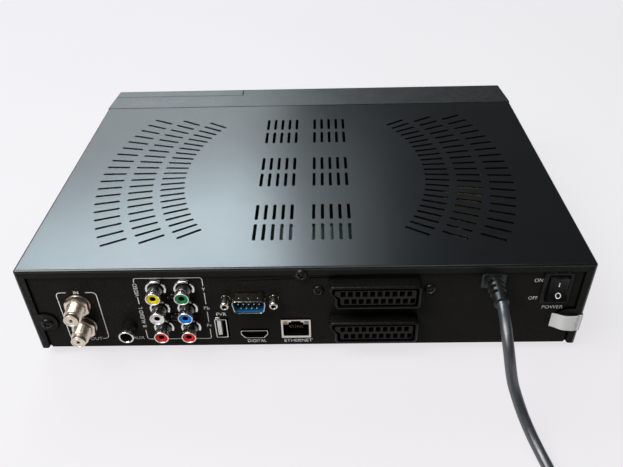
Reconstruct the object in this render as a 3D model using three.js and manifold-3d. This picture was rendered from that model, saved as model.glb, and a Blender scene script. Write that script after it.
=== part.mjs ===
// Satellite television receiver, in millimetres, +Z up.
// The front faces -Y and the connector panel faces +Y. The origin is on the floor, under the middle.
import * as THREE from 'three';
import { mergeGeometries, mergeVertices } from 'three/addons/utils/BufferGeometryUtils.js';
import Module from 'manifold-3d';

const wasm = await Module();
wasm.setup();

// Fits shared by all pieces
const gap = 0.3;
const overrun = 2;

// Case of folded sheet, and its feet
const body = { width: 300, height: 57, depth: 189, sheet: 0.8, bend: 1.5 };

// Places along the case from its middle, as shares of its half width
const placeShares = {
  aerial: 0.8087, digitalJack: 0.6447, phono: 0.4167, usb: 0.304, serial: 0.1887, hdmi: 0.1847, ethernet: 0.0327,
  scart: -0.2473, gland: -0.656, mainsSwitch: -0.8793,
  flapEdge: 0.3367, cage: 0.6267, glass: -0.1333, glassWidth: 0.7467, standby: -0.7867,
  frontBoardLeft: -0.92, traySlot: 0.2933, mainBoardLeft: -0.5333, mainBoardRight: 0.9333,
  powerBoardLeft: -0.9667, powerBoardRight: -0.58, transformer: -0.6933, capacitor: -0.8867, powerSink: -0.6467,
};

// Heights over the case's low edge, as shares of its height
const heightShares = {
  aerial: 0.3, can: 0.7895, phono: 0.2807, phonoPitch: 0.2456, serial: 0.6228, scart: 0.2754, scartPitch: 0.4474,
  glass: 0.5789, glassHeight: 0.4561, key: 0.2018, frontBoardLow: 0.0877, frontBoardHigh: 0.8772, trayWall: 0.8421,
};
const flange = { side: 5, top: 5, mitre: 0.4, tabRadius: 6, topTabRadius: 4.6, footChamfer: 1.2 };
const tab = { fromEdge: 8.4, below: 4.8, topDrop: 4, topShift: 0.7 };
const foot = { height: 5.7, radius: 9, topRadius: 8, inset: 22 };

// Vent slots in the top
const vents = {
  shift: 0.8, slotWidth: 1.7, slotLength: 14.9, sideMargin: 23.05, ringRadius: 118, ringPitch: 19.1,
  barStart: 6.25, barPitch: 5, barLength: 15, barRowPitch: 19.2, barGroupPitch: 54,
};
const ringCounts = [23, 21, 19];
const ringStepTurns = 1 / 120;
const barColumns = 5;
const barGroups = 3;

// Tray that carries the boards
const tray = {
  sheet: 1, lip: 12, wallFromSeam: 6, postRadius: 3, spigotRadius: 1.4, spigotHeight: 1.2,
  cardDoorLow: 3, cardDoorOver: 5.7, cardDoorMargin: 4, slotWidth: 3, slotPitch: 7,
};
const traySlots = 8;

// Circuit boards
const board = { thickness: 1.6, top: 6, fromPanel: 1.5, holeInset: 6 };
const mainBoard = { depth: 108, frontGap: 2, pastCage: 14 };
const powerBoard = { depth: 146 };

// Bezel, its openings and the flap at one end
const bezel = {
  depth: 31, taper: 2, edge: 2, wall: 2.2, tongue: 5, tongueWall: 1.6, bossRadius: 3.2, spigotRadius: 1.2,
};
const flap = { lip: 11.2, wall: 2.2, hingeIn: 4.5, sill: 2, pinRadius: 0.9, pinReach: 2.4, arm: 3.4 };
const flapRib = { width: 2.2, radius: 3.9 };
const glass = { rim: 2, rimDepth: 1.2 };
const standby = { radius: 7, rim: 1.6 };
const key = { width: 11, height: 5, corner: 2, rim: 1.2, pitch: 20 };
const press = { travel: 0.5, rimDepth: 1.2, stemRadius: 2, sink: 0.2 };
const frontBoard = { standOff: 11.8, pastGlass: 7.2, bossInset: 3.6 };
const display = { width: 76, height: 22 };
const keySwitch = { size: 6, height: 3.5, plungerRadius: 1.7, plungerHeight: 6.2 };

// Card slots behind the flap
const cage = { width: 60, depth: 81, height: 26, mouth: 55, slot: 6, slotDepth: 58, firstSlot: 4, slotPitch: 11 };
const reader = { height: 8, depth: 56, mouth: 56, slot: 1.6, slotDepth: 40 };

// Aerial connectors and the tuner can behind them
const aerial = {
  pitch: 15.9, reach: 13.6, radius: 4.7, tipRadius: 3.9, tipLength: 3,
  bore: 0.9, boreDepth: 5, boreChamfer: 0.5,
};
const aerialNut = { wall: 1.15, thickness: 2.9 };
const aerialWasher = { radius: 6.6, thickness: 0.9 };
const can = { width: 16, lift: 0.5, depth: 58 };

// Phono jacks
const jack = { radius: 4.1, lip: 1, recess: 0.6, bore: 1.5, boreDepth: 8 };
const digitalJack = { lift: 10, reach: 9.3, blockWidth: 10.4, blockDepth: 12 };
const phono = { columnPitch: 14.9, reach: 9.8, blockDepth: 12, blockMargin: 6.5 };
const ring = { wall: 0.9, depth: 1.8, split: 3.2, plate: 0.8 };
const phonoColumns = 2;
const phonoRows = 3;

// Ports in the middle of the panel
const usb = {
  lift: 1.3, width: 6.6, height: 14, wall: 0.5, depth: 14, proud: 0.6, tongue: 1.9, tongueShift: 0.8,
};
const serialRowPins = [5, 4];
const serial = {
  width: 16.9, height: 8.4, slant: 1.45, corner: 1.6, wall: 0.6, reach: 6.4,
  flangeWidth: 30.8, flangeHeight: 12.5, flangeThickness: 1, backDepth: 6, cavity: 5.8,
  pinRadius: 0.5, pinPitch: 2.77, rowPitch: 2.84, pinReach: 5.2,
  postPitch: 25, postRadius: 2.4, postReach: 6.1, postBore: 1.2, postBoreDepth: 3,
};
const hdmi = {
  lift: 0.4, width: 15.1, height: 5.9, slope: 2, step: 2.6, wall: 0.6, depth: 11, proud: 0.3, tongue: 1.2,
};
const ethernet = {
  lift: 0.3, width: 16, height: 13.8, depth: 16, proud: 0.3,
  mouthWidth: 11.9, mouthLow: 2.8, mouthHeight: 10.2, keyWidth: 4.9, mouthDepth: 12.5,
};
const scart = {
  width: 47.2, height: 15.6, reach: 6.5, taper: 1, backDepth: 14,
  slantTop: 2.4, slantLow: 0.6, slantIn: 2.9, corner: 1.2, rim: 1.1, channel: 1.3, channelDepth: 4.6,
  blockSink: 0.5, slotPitch: 3.81, slotWidth: 2.1, slotHeight: 3.2, rowPitch: 5.2, slotDepth: 3, screwGap: 2.9,
};
const scartSlots = 10;

// Mains switch
const mainsSwitch = {
  belowFlange: 0.2, rim: 1, frameDepth: 2, width: 13, height: 19, depth: 15,
  mouthWidth: 10.4, mouthDepth: 11, bladeWidth: 4.8, bladeThickness: 0.8, bladeLength: 7, bladePitch: 7,
};
const rocker = { radius: 8.4, skirt: 3.2, middle: 3.6, pivotIn: 0.2, trunnion: 1.2, trunnionLength: 0.9 };
const rockerTiltTurns = 13 / 360;

// Screws
const screw = { headRadius: 2.8, headHeight: 1.5, crownRadius: 1.7, shaft: 1.2, shaftLength: 5, hole: 1.6 };
const coverScrew = { headRadius: 3.2, headHeight: 1.7, crownRadius: 2, shaft: 1.4, shaftLength: 6, hole: 1.8 };

// Parts on the power board and the main board
const transformer = { behindSink: 11, width: 26, depth: 22, height: 27, windingInset: 5, windingOut: 3 };
const capacitor = { radius: 8, height: 24, fromPanel: 58 };
const powerSink = { behindRibbon: 7, length: 36, width: 8, height: 24, plate: 2 };
const chipSink = { fromPanel: 70, size: 32, base: 3, height: 12, fin: 1.6 };
const ribbon = { fromPanel: 30, width: 14, span: 16, thickness: 1, header: 5, headerHeight: 6 };
const sinkFins = 6;

// Paper seal over the right cover screw
const seal = { width: 11.6, pastTab: 2.3, wrap: 9, thickness: 0.25, slopeShare: 0.14, below: 11 };

// Mains cord: strain relief, free stretch, coil and plug; the route starts from the strain relief's tip
const cord = { radius: 2.75, clearance: 0.5 };
const gland = {
  belowFlange: 0.35, width: 12.6, height: 9.3, thickness: 2.2, corner: 1.2, reach: 19,
  neck: 4, collar: 6, collarDepth: 3,
  baseRadius: 4.7, tipRadius: 3.7, groove: 0.9, ribStart: 4.2, ribPitch: 3.7, ribWidth: 2.3, backReach: 3,
};
const glandRibs = 3;
const cordRoute = [
  [0, 0.35, 53], [0, 2.85, 53], [0.5, 9.05, 52.2], [0.7, 14.85, 49.8], [0.5, 19.85, 46],
  [-0.1, 23.65, 41], [-1.1, 26.05, 35], [-2.7, 28.05, 27.9], [-4.5, 30.65, 22.4], [-7.7, 36.85, 14.4],
  [-11.2, 44.85, 8.2], [-14.6, 54.25, 4.3], [-17.2, 64.35, 2.85], [-18.4, 75.35, 2.85], [-18.6, 87.35, 2.85],
  [-18.6, 100.35, 2.85], [-18.6, 106.35, 2.85],
];
const coil = { innerRadius: 24, leadOut: 40, restHeight: 7 };
const coilTurns = 6.25;
const plug = {
  length: 37, width: 35, height: 13.6, tailWidth: 11, tailShare: 0.3, faceShare: 0.8, faceWidth: 26, edge: 1.2,
  pinRadius: 2, pinLength: 19, pinPitch: 18.2, pinTip: 1,
};

// Facets
const facets = { round: 16, jack: 12, small: 8, tiny: 6, corner: 2, tube: 8, coil: 6, coilStep: 24, route: 24 };

// Places shared by the pieces
const caseZ = foot.height + gap;
const panelStep = body.sheet + gap;
const rearY = (body.depth + bezel.depth - (aerial.reach - panelStep)) / 2;
const seamY = rearY - body.depth;
const frontY = seamY - bezel.depth;
const panelY = rearY - panelStep;
const insideY = panelY - body.sheet - gap;
const up = (height) => caseZ + height;
const halfWidth = body.width / 2;
const sharesOf = (whole, shares) => (
  Object.fromEntries(Object.entries(shares).map(([name, share]) => [name, share * whole]))
);
const at = sharesOf(halfWidth, placeShares);
const rise = sharesOf(body.height, heightShares);
const usbMiddle = board.top + usb.lift + usb.height / 2;
const hdmiMiddle = board.top + hdmi.lift + hdmi.height / 2;
const ethernetLow = board.top + ethernet.lift;
const digitalMiddle = board.top + digitalJack.lift;
const switchFrame = {
  width: mainsSwitch.width + mainsSwitch.rim * 2, height: mainsSwitch.height + mainsSwitch.rim * 2,
};
const switchMiddle = body.height - flange.top - mainsSwitch.belowFlange - switchFrame.height / 2;
const glandMiddle = body.height - flange.top - gland.belowFlange - gland.height / 2;
const powerSinkDepth = ribbon.fromPanel + ribbon.width / 2 + powerSink.behindRibbon + powerSink.length / 2;
const transformerDepth = powerSinkDepth + powerSink.length / 2 + transformer.behindSink + transformer.depth / 2;
const tabHeight = switchMiddle - switchFrame.height / 2 - tab.below - flange.tabRadius;
const frontBoardRight = at.glass + at.glassWidth / 2 + glass.rim + frontBoard.pastGlass;
const mainFrontLeft = at.cage - cage.width / 2 - mainBoard.pastCage;
const mainFrontRight = at.cage + cage.width / 2 + mainBoard.pastCage;
const boardZ = up(board.top);
const seatZ = boardZ + gap;
const faceY = frontY + bezel.wall;
const flapBackY = frontY + flap.lip;
const flapWallY = flapBackY + gap;
const hinge = { y: frontY + flap.hingeIn, z: up(flap.sill + gap + flap.hingeIn) };
const frontBoardY = faceY + frontBoard.standOff;
const cageFrontY = flapWallY + bezel.wall + gap;
const readerLow = seatZ + cage.height;
const trayWallY = seamY + tray.wallFromSeam;

// Finishes
const finish = (color, roughness, metalness) => new THREE.MeshStandardMaterial({ color, roughness, metalness });
const finishes = {
  caseBlack: finish(0x20211f, 0.45, 0.3),
  panelBlack: finish(0x1b1b19, 0.6, 0.2),
  plasticBlack: finish(0x141514, 0.4, 0),
  socketBlack: finish(0x0d0d0d, 0.5, 0),
  smokedPane: finish(0x0a0a0c, 0.08, 0),
  rubberBlack: finish(0x161616, 0.9, 0),
  zinc: finish(0xa9aaa8, 0.4, 0.9),
  nickel: finish(0xd8cdb8, 0.28, 0.95),
  boltBlack: finish(0x1c1c1c, 0.35, 0.6),
  boardGreen: finish(0x1d5a34, 0.5, 0.1),
  ferrite: finish(0xd8b838, 0.5, 0),
  sleeveBlue: finish(0x1e3f78, 0.35, 0),
  aluminium: finish(0xb5b8ba, 0.45, 0.8),
  ribbonGrey: finish(0xb9b7b0, 0.6, 0),
  serialBlue: finish(0x1f66a8, 0.4, 0),
  paper: finish(0xe9eae8, 0.7, 0),
  yellow: finish(0xe6d321, 0.4, 0),
  white: finish(0xeceded, 0.4, 0),
  red: finish(0xd6271c, 0.4, 0),
  green: finish(0x1d9b57, 0.4, 0),
  blue: finish(0x2a8fe0, 0.4, 0),
};

// Solids: a closed three.js geometry becomes one that can be joined and cut
function solidOf(geometry) {
  const bare = geometry.clone();
  bare.deleteAttribute('normal');
  bare.deleteAttribute('uv');
  const welded = mergeVertices(bare);
  const index = welded.index.array;
  const triVerts = [];
  for (let i = 0; i < index.length; i += 3) {
    const [a, b, c] = [index[i], index[i + 1], index[i + 2]];
    if (a !== b && b !== c && c !== a) triVerts.push(a, b, c);
  }
  const vertProperties = Float32Array.from(welded.attributes.position.array);
  const make = (triangles) => new wasm.Manifold(
    new wasm.Mesh({ numProp: 3, vertProperties, triVerts: Uint32Array.from(triangles) }),
  );
  const solid = make(triVerts);
  if (solid.volume() > 0) return solid;
  const flipped = [];
  for (let i = 0; i < triVerts.length; i += 3) flipped.push(triVerts[i], triVerts[i + 2], triVerts[i + 1]);
  return make(flipped);
}

function geometryOf(solid) {
  const mesh = solid.getMesh();
  const geometry = new THREE.BufferGeometry();
  geometry.setAttribute('position', new THREE.BufferAttribute(mesh.vertProperties, 3));
  geometry.setIndex(new THREE.BufferAttribute(mesh.triVerts, 1));
  geometry.computeVertexNormals();
  return geometry;
}

const join = (first, ...rest) => rest.reduce((whole, piece) => whole.add(piece), first);
const cut = (first, ...rest) => rest.reduce((whole, piece) => whole.subtract(piece), first);

// A box between two corners
function block(x0, x1, y0, y1, z0, z1) {
  const geometry = new THREE.BoxGeometry(x1 - x0, y1 - y0, z1 - z0);
  geometry.translate((x0 + x1) / 2, (y0 + y1) / 2, (z0 + z1) / 2);
  return solidOf(geometry);
}

// Round bars along each axis
function barY(x, z, radius, y0, y1, sides = facets.round) {
  const geometry = new THREE.CylinderGeometry(radius, radius, y1 - y0, sides);
  geometry.translate(x, (y0 + y1) / 2, z);
  return solidOf(geometry);
}

function barZ(x, y, radius, z0, z1, sides = facets.small, topRadius = radius) {
  const geometry = new THREE.CylinderGeometry(topRadius, radius, z1 - z0, sides);
  geometry.rotateX(Math.PI / 2);
  geometry.translate(x, y, (z0 + z1) / 2);
  return solidOf(geometry);
}

function barX(y, z, radius, x0, x1, sides = facets.small) {
  const geometry = new THREE.CylinderGeometry(radius, radius, x1 - x0, sides);
  geometry.rotateZ(Math.PI / 2);
  geometry.translate((x0 + x1) / 2, y, z);
  return solidOf(geometry);
}

// A turned piece on an axis along Y; the profile is a list of [radius, distance along Y]
function turned(profile, x, y, z, sides = facets.round) {
  const points = profile.map(([radius, along]) => new THREE.Vector2(radius, along));
  const geometry = new THREE.LatheGeometry(points, sides);
  geometry.translate(x, y, z);
  return solidOf(geometry);
}

// Outlines and plates extruded along each axis
const outline = (points) => new THREE.Shape(points.map(([a, b]) => new THREE.Vector2(a, b)));

function roundedOutline(width, height, corner) {
  const [w, h] = [width / 2, height / 2];
  const shape = new THREE.Shape();
  shape.moveTo(corner - w, -h);
  shape.lineTo(w - corner, -h);
  shape.absarc(w - corner, corner - h, corner, -Math.PI / 2, 0);
  shape.lineTo(w, h - corner);
  shape.absarc(w - corner, h - corner, corner, 0, Math.PI / 2);
  shape.lineTo(corner - w, h);
  shape.absarc(corner - w, h - corner, corner, Math.PI / 2, Math.PI);
  shape.lineTo(-w, corner - h);
  shape.absarc(corner - w, corner - h, corner, Math.PI, Math.PI * 1.5);
  return shape;
}

const extruded = (shape, depth) => new THREE.ExtrudeGeometry(
  shape,
  { depth, bevelEnabled: false, curveSegments: facets.corner },
);

// Shape x and y become X and Z
function plateY(shape, y0, y1, x = 0, z = 0) {
  const geometry = extruded(shape, y1 - y0);
  geometry.rotateX(Math.PI / 2);
  geometry.translate(x, y1, z);
  return solidOf(geometry);
}

// Shape x and y become X and Y
function plateZ(shape, z0, z1, x = 0, y = 0) {
  const geometry = extruded(shape, z1 - z0);
  geometry.translate(x, y, z0);
  return solidOf(geometry);
}

// Shape x and y become Y and Z
function plateX(shape, x0, x1, y = 0, z = 0) {
  const geometry = extruded(shape, x1 - x0);
  geometry.applyMatrix4(new THREE.Matrix4().set(0, 0, 1, x0, 1, 0, 0, y, 0, 1, 0, z, 0, 0, 0, 1));
  return solidOf(geometry);
}

// The receiver, filled by the sections below
const receiver = new THREE.Group();

function add(name, solid, material) {
  const mesh = new THREE.Mesh(geometryOf(solid), material);
  mesh.name = name;
  receiver.add(mesh);
}

// Vent slots of the top, as one cutter
function slotCutter() {
  const low = up(body.height) - body.sheet - overrun;
  const middleY = rearY - body.depth / 2;
  const lastRing = vents.ringRadius + (ringCounts.length - 1) * vents.ringPitch;
  const arcCentre = lastRing + vents.slotLength / 2 - (halfWidth - vents.sideMargin);
  const tall = body.sheet + overrun * 2;
  const slots = [];
  const addSlot = (x, y, length, width, angle) => {
    const slot = new THREE.BoxGeometry(length, width, tall);
    slot.rotateZ(angle);
    slot.translate(vents.shift + x, middleY + y, low + tall / 2);
    slots.push(slot);
  };
  for (const side of [-1, 1]) {
    ringCounts.forEach((count, ringIndex) => {
      const radius = vents.ringRadius + ringIndex * vents.ringPitch;
      for (let i = 0; i < count; i += 1) {
        const angle = (i - (count - 1) / 2) * ringStepTurns * Math.PI * 2;
        const x = side * (radius * Math.cos(angle) - arcCentre);
        addSlot(x, radius * Math.sin(angle), vents.slotLength, vents.slotWidth, side * angle);
      }
    });
    for (let group = 0; group < barGroups; group += 1) {
      for (let column = 0; column < barColumns; column += 1) {
        for (const row of [-1, 1]) {
          const x = side * (vents.barStart + column * vents.barPitch);
          const y = (group - (barGroups - 1) / 2) * vents.barGroupPitch + row * vents.barRowPitch / 2;
          addSlot(x, y, vents.slotWidth, vents.barLength, 0);
        }
      }
    }
  }
  return solidOf(mergeGeometries(slots));
}

// Places of the cover's screws: [x, z]
const coverScrewPlaces = [
  [halfWidth - tab.fromEdge, up(tabHeight)],
  [tab.topShift, up(body.height - tab.topDrop)],
  [tab.fromEdge - halfWidth, up(tabHeight)],
];

// Top cover: top, sides and rear flanges of one folded sheet
function topCover() {
  const [low, high] = [up(0), up(body.height)];
  const inner = halfWidth - body.sheet;
  const walls = cut(
    block(-halfWidth, halfWidth, seamY, rearY, low, high),
    block(-inner, inner, seamY - overrun, rearY + overrun, low - overrun, high - body.sheet),
  );
  const flangeIn = halfWidth - flange.side;
  const flangeTop = high - flange.top;
  const frame = cut(
    block(-halfWidth, halfWidth, rearY - body.sheet, rearY, low, high),
    plateY(
      outline([
        [-flangeIn - flange.footChamfer, low - overrun], [flangeIn + flange.footChamfer, low - overrun],
        [flangeIn + flange.footChamfer, low], [flangeIn, low + flange.footChamfer],
        [flangeIn, flangeTop], [-flangeIn, flangeTop],
        [-flangeIn, low + flange.footChamfer], [-flangeIn - flange.footChamfer, low],
      ]),
      rearY - body.sheet - overrun,
      rearY + overrun,
    ),
  );
  const tabs = coverScrewPlaces.map(([x, z], i) => {
    const radius = i === 1 ? flange.topTabRadius : flange.tabRadius;
    const anchorX = i === 1 ? x : Math.sign(x) * (halfWidth - flange.side / 2);
    const anchorZ = i === 1 ? high - flange.top / 2 : z;
    const arm = i === 1
      ? block(x - radius, x + radius, rearY - body.sheet, rearY, z, anchorZ)
      : block(Math.min(x, anchorX), Math.max(x, anchorX), rearY - body.sheet, rearY, z - radius, z + radius);
    return join(barY(x, z, radius, rearY - body.sheet, rearY), arm);
  });
  const holes = coverScrewPlaces.map(([x, z]) => (
    barY(x, z, coverScrew.hole, rearY - body.sheet - overrun, rearY + overrun, facets.tiny)
  ));
  const mitres = [-1, 1].map((side) => {
    const reach = Math.hypot(flange.side, flange.top) * 2;
    const geometry = new THREE.BoxGeometry(reach, body.sheet, flange.mitre);
    geometry.rotateY(side * Math.atan2(-flange.top, flange.side));
    geometry.translate(side * halfWidth, rearY - body.sheet / 2, high);
    return solidOf(geometry);
  });
  const bend = body.bend;
  const rounding = plateX(
    outline([
      [seamY - overrun, low - overrun], [rearY + overrun, low - overrun], [rearY + overrun, high + overrun],
      [seamY - overrun, high + overrun],
    ]),
    -halfWidth - overrun,
    halfWidth + overrun,
  );
  const edgeX = cut(
    block(-halfWidth - overrun, halfWidth + overrun, rearY - bend, rearY + overrun, high - bend, high + overrun),
    barX(rearY - bend, high - bend, bend, -halfWidth - overrun * 2, halfWidth + overrun * 2, facets.round),
  );
  const edgesY = [-1, 1].map((side) => cut(
    block(
      Math.min(side * (halfWidth - bend), side * (halfWidth + overrun)),
      Math.max(side * (halfWidth - bend), side * (halfWidth + overrun)),
      seamY - overrun,
      rearY + overrun,
      high - bend,
      high + overrun,
    ),
    barY(side * (halfWidth - bend), high - bend, bend, seamY - overrun * 2, rearY + overrun * 2),
  ));
  const sheet = join(walls, frame, ...tabs).intersect(rounding);
  return cut(sheet, edgeX, ...edgesY, slotCutter(), ...holes, ...mitres);
}
add('top_cover', topCover(), finishes.caseBlack);

// Holes of the boards, and so the posts of the tray: [x, distance inside the panel]
const mainHoles = [
  [at.mainBoardRight - board.holeInset, board.holeInset + board.fromPanel],
  [at.mainBoardRight - board.holeInset, mainBoard.depth - board.holeInset],
  [at.mainBoardLeft + board.holeInset, board.holeInset + board.fromPanel],
  [at.mainBoardLeft + board.holeInset, mainBoard.depth - board.holeInset],
];
const trayInsideDepth = insideY - (trayWallY + tray.sheet);
const frontHoles = [mainFrontLeft, mainFrontRight].map((x, i) => (
  [x + (i ? -1 : 1) * board.holeInset, trayInsideDepth - mainBoard.frontGap - board.holeInset]
));
const powerHoles = [at.powerBoardLeft, at.powerBoardRight].flatMap((x, i) => (
  [board.fromPanel + board.holeInset, powerBoard.depth - board.holeInset].map((depth) => (
    [x + (i ? -1 : 1) * board.holeInset, depth]
  ))
));
const boardHoles = [...mainHoles, ...frontHoles, ...powerHoles];

// Chassis tray: floor with vents, lips, front wall with a door for the cards, and posts
function chassisTray() {
  const half = halfWidth - body.sheet - gap;
  const [low, floor] = [up(0), up(tray.sheet)];
  const backY = insideY;
  const shell = join(
    block(-half, half, trayWallY, backY, low, floor),
    block(-half, tray.sheet - half, trayWallY, backY, low, up(tray.lip)),
    block(half - tray.sheet, half, trayWallY, backY, low, up(tray.lip)),
    block(-half, half, trayWallY, trayWallY + tray.sheet, low, up(rise.trayWall)),
  );
  const doorHalf = cage.width / 2 + tray.cardDoorMargin;
  const cardDoor = block(
    at.cage - doorHalf,
    at.cage + doorHalf,
    trayWallY - overrun,
    trayWallY + tray.sheet + overrun,
    up(tray.cardDoorLow),
    readerLow + reader.height + tray.cardDoorOver,
  );
  const slots = [];
  for (const side of [-1, 1]) {
    for (let i = 0; i < traySlots; i += 1) {
      const slot = new THREE.BoxGeometry(at.traySlot, tray.slotWidth, tray.sheet + overrun * 2);
      const y = (trayWallY + backY) / 2 + (i - (traySlots - 1) / 2) * tray.slotPitch;
      slot.translate(side * at.traySlot, y, low + tray.sheet / 2);
      slots.push(slot);
    }
  }
  const postTop = boardZ - board.thickness - gap;
  const posts = boardHoles.map(([x, depth]) => (
    barZ(x, insideY - depth, tray.postRadius, floor - tray.sheet / 2, postTop, facets.tiny)
  ));
  const spigots = boardHoles.map(([x, depth]) => (
    barZ(x, insideY - depth, tray.spigotRadius, floor, boardZ + tray.spigotHeight, facets.tiny)
  ));
  return cut(join(shell, ...posts, ...spigots), cardDoor, solidOf(mergeGeometries(slots)));
}
add('chassis_tray', chassisTray(), finishes.zinc);

// Outlines that both the panel's cut-outs and the connectors use
function serialOutline(grow) {
  const w = serial.width / 2 + grow;
  const h = serial.height / 2 + grow;
  const corner = serial.corner;
  return outline([
    [-w, h - corner], [-w + serial.slant, -h + corner], [-w + serial.slant + corner, -h],
    [w - serial.slant - corner, -h], [w - serial.slant, -h + corner], [w, h - corner],
    [w - corner, h], [corner - w, h],
  ]);
}

function hdmiOutline(grow) {
  const w = hdmi.width / 2 + grow;
  const h = hdmi.height / 2 + grow;
  return outline([
    [-w, h], [-w, hdmi.step - h], [hdmi.slope - w, -h], [w - hdmi.slope, -h], [w, hdmi.step - h], [w, h],
  ]);
}

function scartOutline(grow) {
  const w = scart.width / 2 + grow;
  const h = scart.height / 2 + grow;
  const c = scart.corner;
  return outline([
    [-w, c - h], [c - w, -h], [w - scart.slantIn - c, -h], [w - scart.slantIn, c - h],
    [w - scart.slantIn, -scart.slantLow], [w, h - scart.slantTop], [w, h - c], [w - c, h], [c - w, h], [-w, h - c],
  ]);
}

// Places of the jacks and of the connectors' screws: [x, z]
const phonoPlaces = [];
for (let column = phonoColumns - 1; column >= 0; column -= 1) {
  for (let row = phonoRows - 1; row >= 0; row -= 1) {
    phonoPlaces.push([at.phono + column * phono.columnPitch, up(rise.phono + row * rise.phonoPitch)]);
  }
}
const ringInner = jack.radius + gap;
const phonoScrewPlaces = [0, 1].map((row) => (
  [at.phono + phono.columnPitch / 2, up(rise.phono + (row + 1 / 2) * rise.phonoPitch)]
));
const scartPlaces = [up(rise.scart + rise.scartPitch), up(rise.scart)];
const scartScrewReach = scart.width / 2 + scart.screwGap + screw.headRadius;
const scartScrewPlaces = [-1, 1].map((side) => [at.scart + side * scartScrewReach, scartPlaces[0]]);
const connectorScrewPlaces = [...phonoScrewPlaces, ...scartScrewPlaces];
const aerialPlaces = [up(rise.aerial + aerial.pitch), up(rise.aerial)];
const serialPostPlaces = [-1, 1].map((side) => [at.serial + side * serial.postPitch / 2, up(rise.serial)]);

// Rear panel with a cut-out for every connector
function rearPanel() {
  const [y0, y1] = [panelY - body.sheet, panelY];
  const half = halfWidth - body.sheet - gap;
  const notch = halfWidth - flange.side - flange.footChamfer;
  const [low, high] = [up(0), up(body.height) - body.sheet - gap];
  const plate = plateY(
    outline([
      [-notch, low], [notch, low], [notch + flange.footChamfer, low + flange.footChamfer * 2],
      [half, low + flange.footChamfer * 2], [half, high], [-half, high], [-half, low + flange.footChamfer * 2],
      [-notch - flange.footChamfer, low + flange.footChamfer * 2],
    ]),
    y0,
    y1,
  );
  const [c0, c1] = [y0 - overrun, y1 + overrun];
  const round = (x, z, radius, sides) => barY(x, z, radius, c0, c1, sides);
  const square = (x, z, width, height) => (
    block(x - width / 2, x + width / 2, c0, c1, z - height / 2, z + height / 2)
  );
  return cut(
    plate,
    ...aerialPlaces.map((z) => round(at.aerial, z, aerial.radius + gap)),
    round(at.digitalJack, up(digitalMiddle), jack.radius + gap, facets.jack),
    ...phonoPlaces.map(([x, z]) => round(x, z, ringInner + ring.wall + gap, facets.jack)),
    square(at.usb, up(usbMiddle), usb.width + gap * 2, usb.height + gap * 2),
    plateY(serialOutline(gap), c0, c1, at.serial, up(rise.serial)),
    plateY(hdmiOutline(gap), c0, c1, at.hdmi, up(hdmiMiddle)),
    square(at.ethernet, up(ethernetLow) + ethernet.height / 2, ethernet.width + gap * 2, ethernet.height + gap * 2),
    ...scartPlaces.map((z) => plateY(scartOutline(gap), c0, c1, at.scart, z)),
    square(at.mainsSwitch, up(switchMiddle), mainsSwitch.width + gap * 2, mainsSwitch.height + gap * 2),
    round(at.gland, up(glandMiddle), gland.neck + gap, facets.jack),
    ...coverScrewPlaces.map(([x, z]) => round(x, z, coverScrew.hole, facets.tiny)),
    ...connectorScrewPlaces.map(([x, z]) => round(x, z, screw.hole, facets.tiny)),
    ...serialPostPlaces.map(([x, z]) => round(x, z, screw.hole, facets.tiny)),
  );
}
add('rear_panel', rearPanel(), finishes.panelBlack);

// The bezel's outer block: narrower towards the front, edges rounded
function bezelBlock(inset, backY) {
  const back = halfWidth - inset;
  const front = halfWidth - bezel.taper - inset;
  const [low, high] = [up(inset), up(body.height - inset)];
  const y0 = frontY + inset;
  const edge = Math.max(bezel.edge - inset, 0);
  const wide = plateZ(
    outline([
      [edge - front, y0], [front - edge, y0], [front, y0 + edge],
      [back, backY], [-back, backY], [-front, y0 + edge],
    ]),
    low,
    high,
  );
  const side = new THREE.Shape();
  side.moveTo(backY, low);
  side.lineTo(backY, high);
  side.lineTo(y0 + edge, high);
  if (edge > 0) side.absarc(y0 + edge, high - edge, edge, Math.PI / 2, Math.PI);
  if (edge > 0) side.absarc(y0 + edge, low + edge, edge, Math.PI, Math.PI * 1.5);
  if (edge === 0) side.lineTo(y0, high);
  if (edge === 0) side.lineTo(y0, low);
  side.closePath();
  return wide.intersect(plateX(side, -halfWidth - overrun, halfWidth + overrun));
}

// Places of the keys, and of the front board's bosses
const keyNames = ['button_menu', 'button_ok', 'button_channel_down', 'button_channel_up'];
const keyPlaces = keyNames.map((name, i) => at.glass + (i - (keyNames.length - 1) / 2) * key.pitch);
const bossPlaces = [at.frontBoardLeft, frontBoardRight].flatMap((x, i) => (
  [rise.frontBoardLow, rise.frontBoardHigh].map((z, k) => [
    x + (i ? -1 : 1) * frontBoard.bossInset,
    up(z) + (k ? -1 : 1) * frontBoard.bossInset,
  ])
));

// Radius left for the bezel's hinge arm inside the flap's walls
const flapClear = flap.hingeIn - flap.wall - gap;

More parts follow.
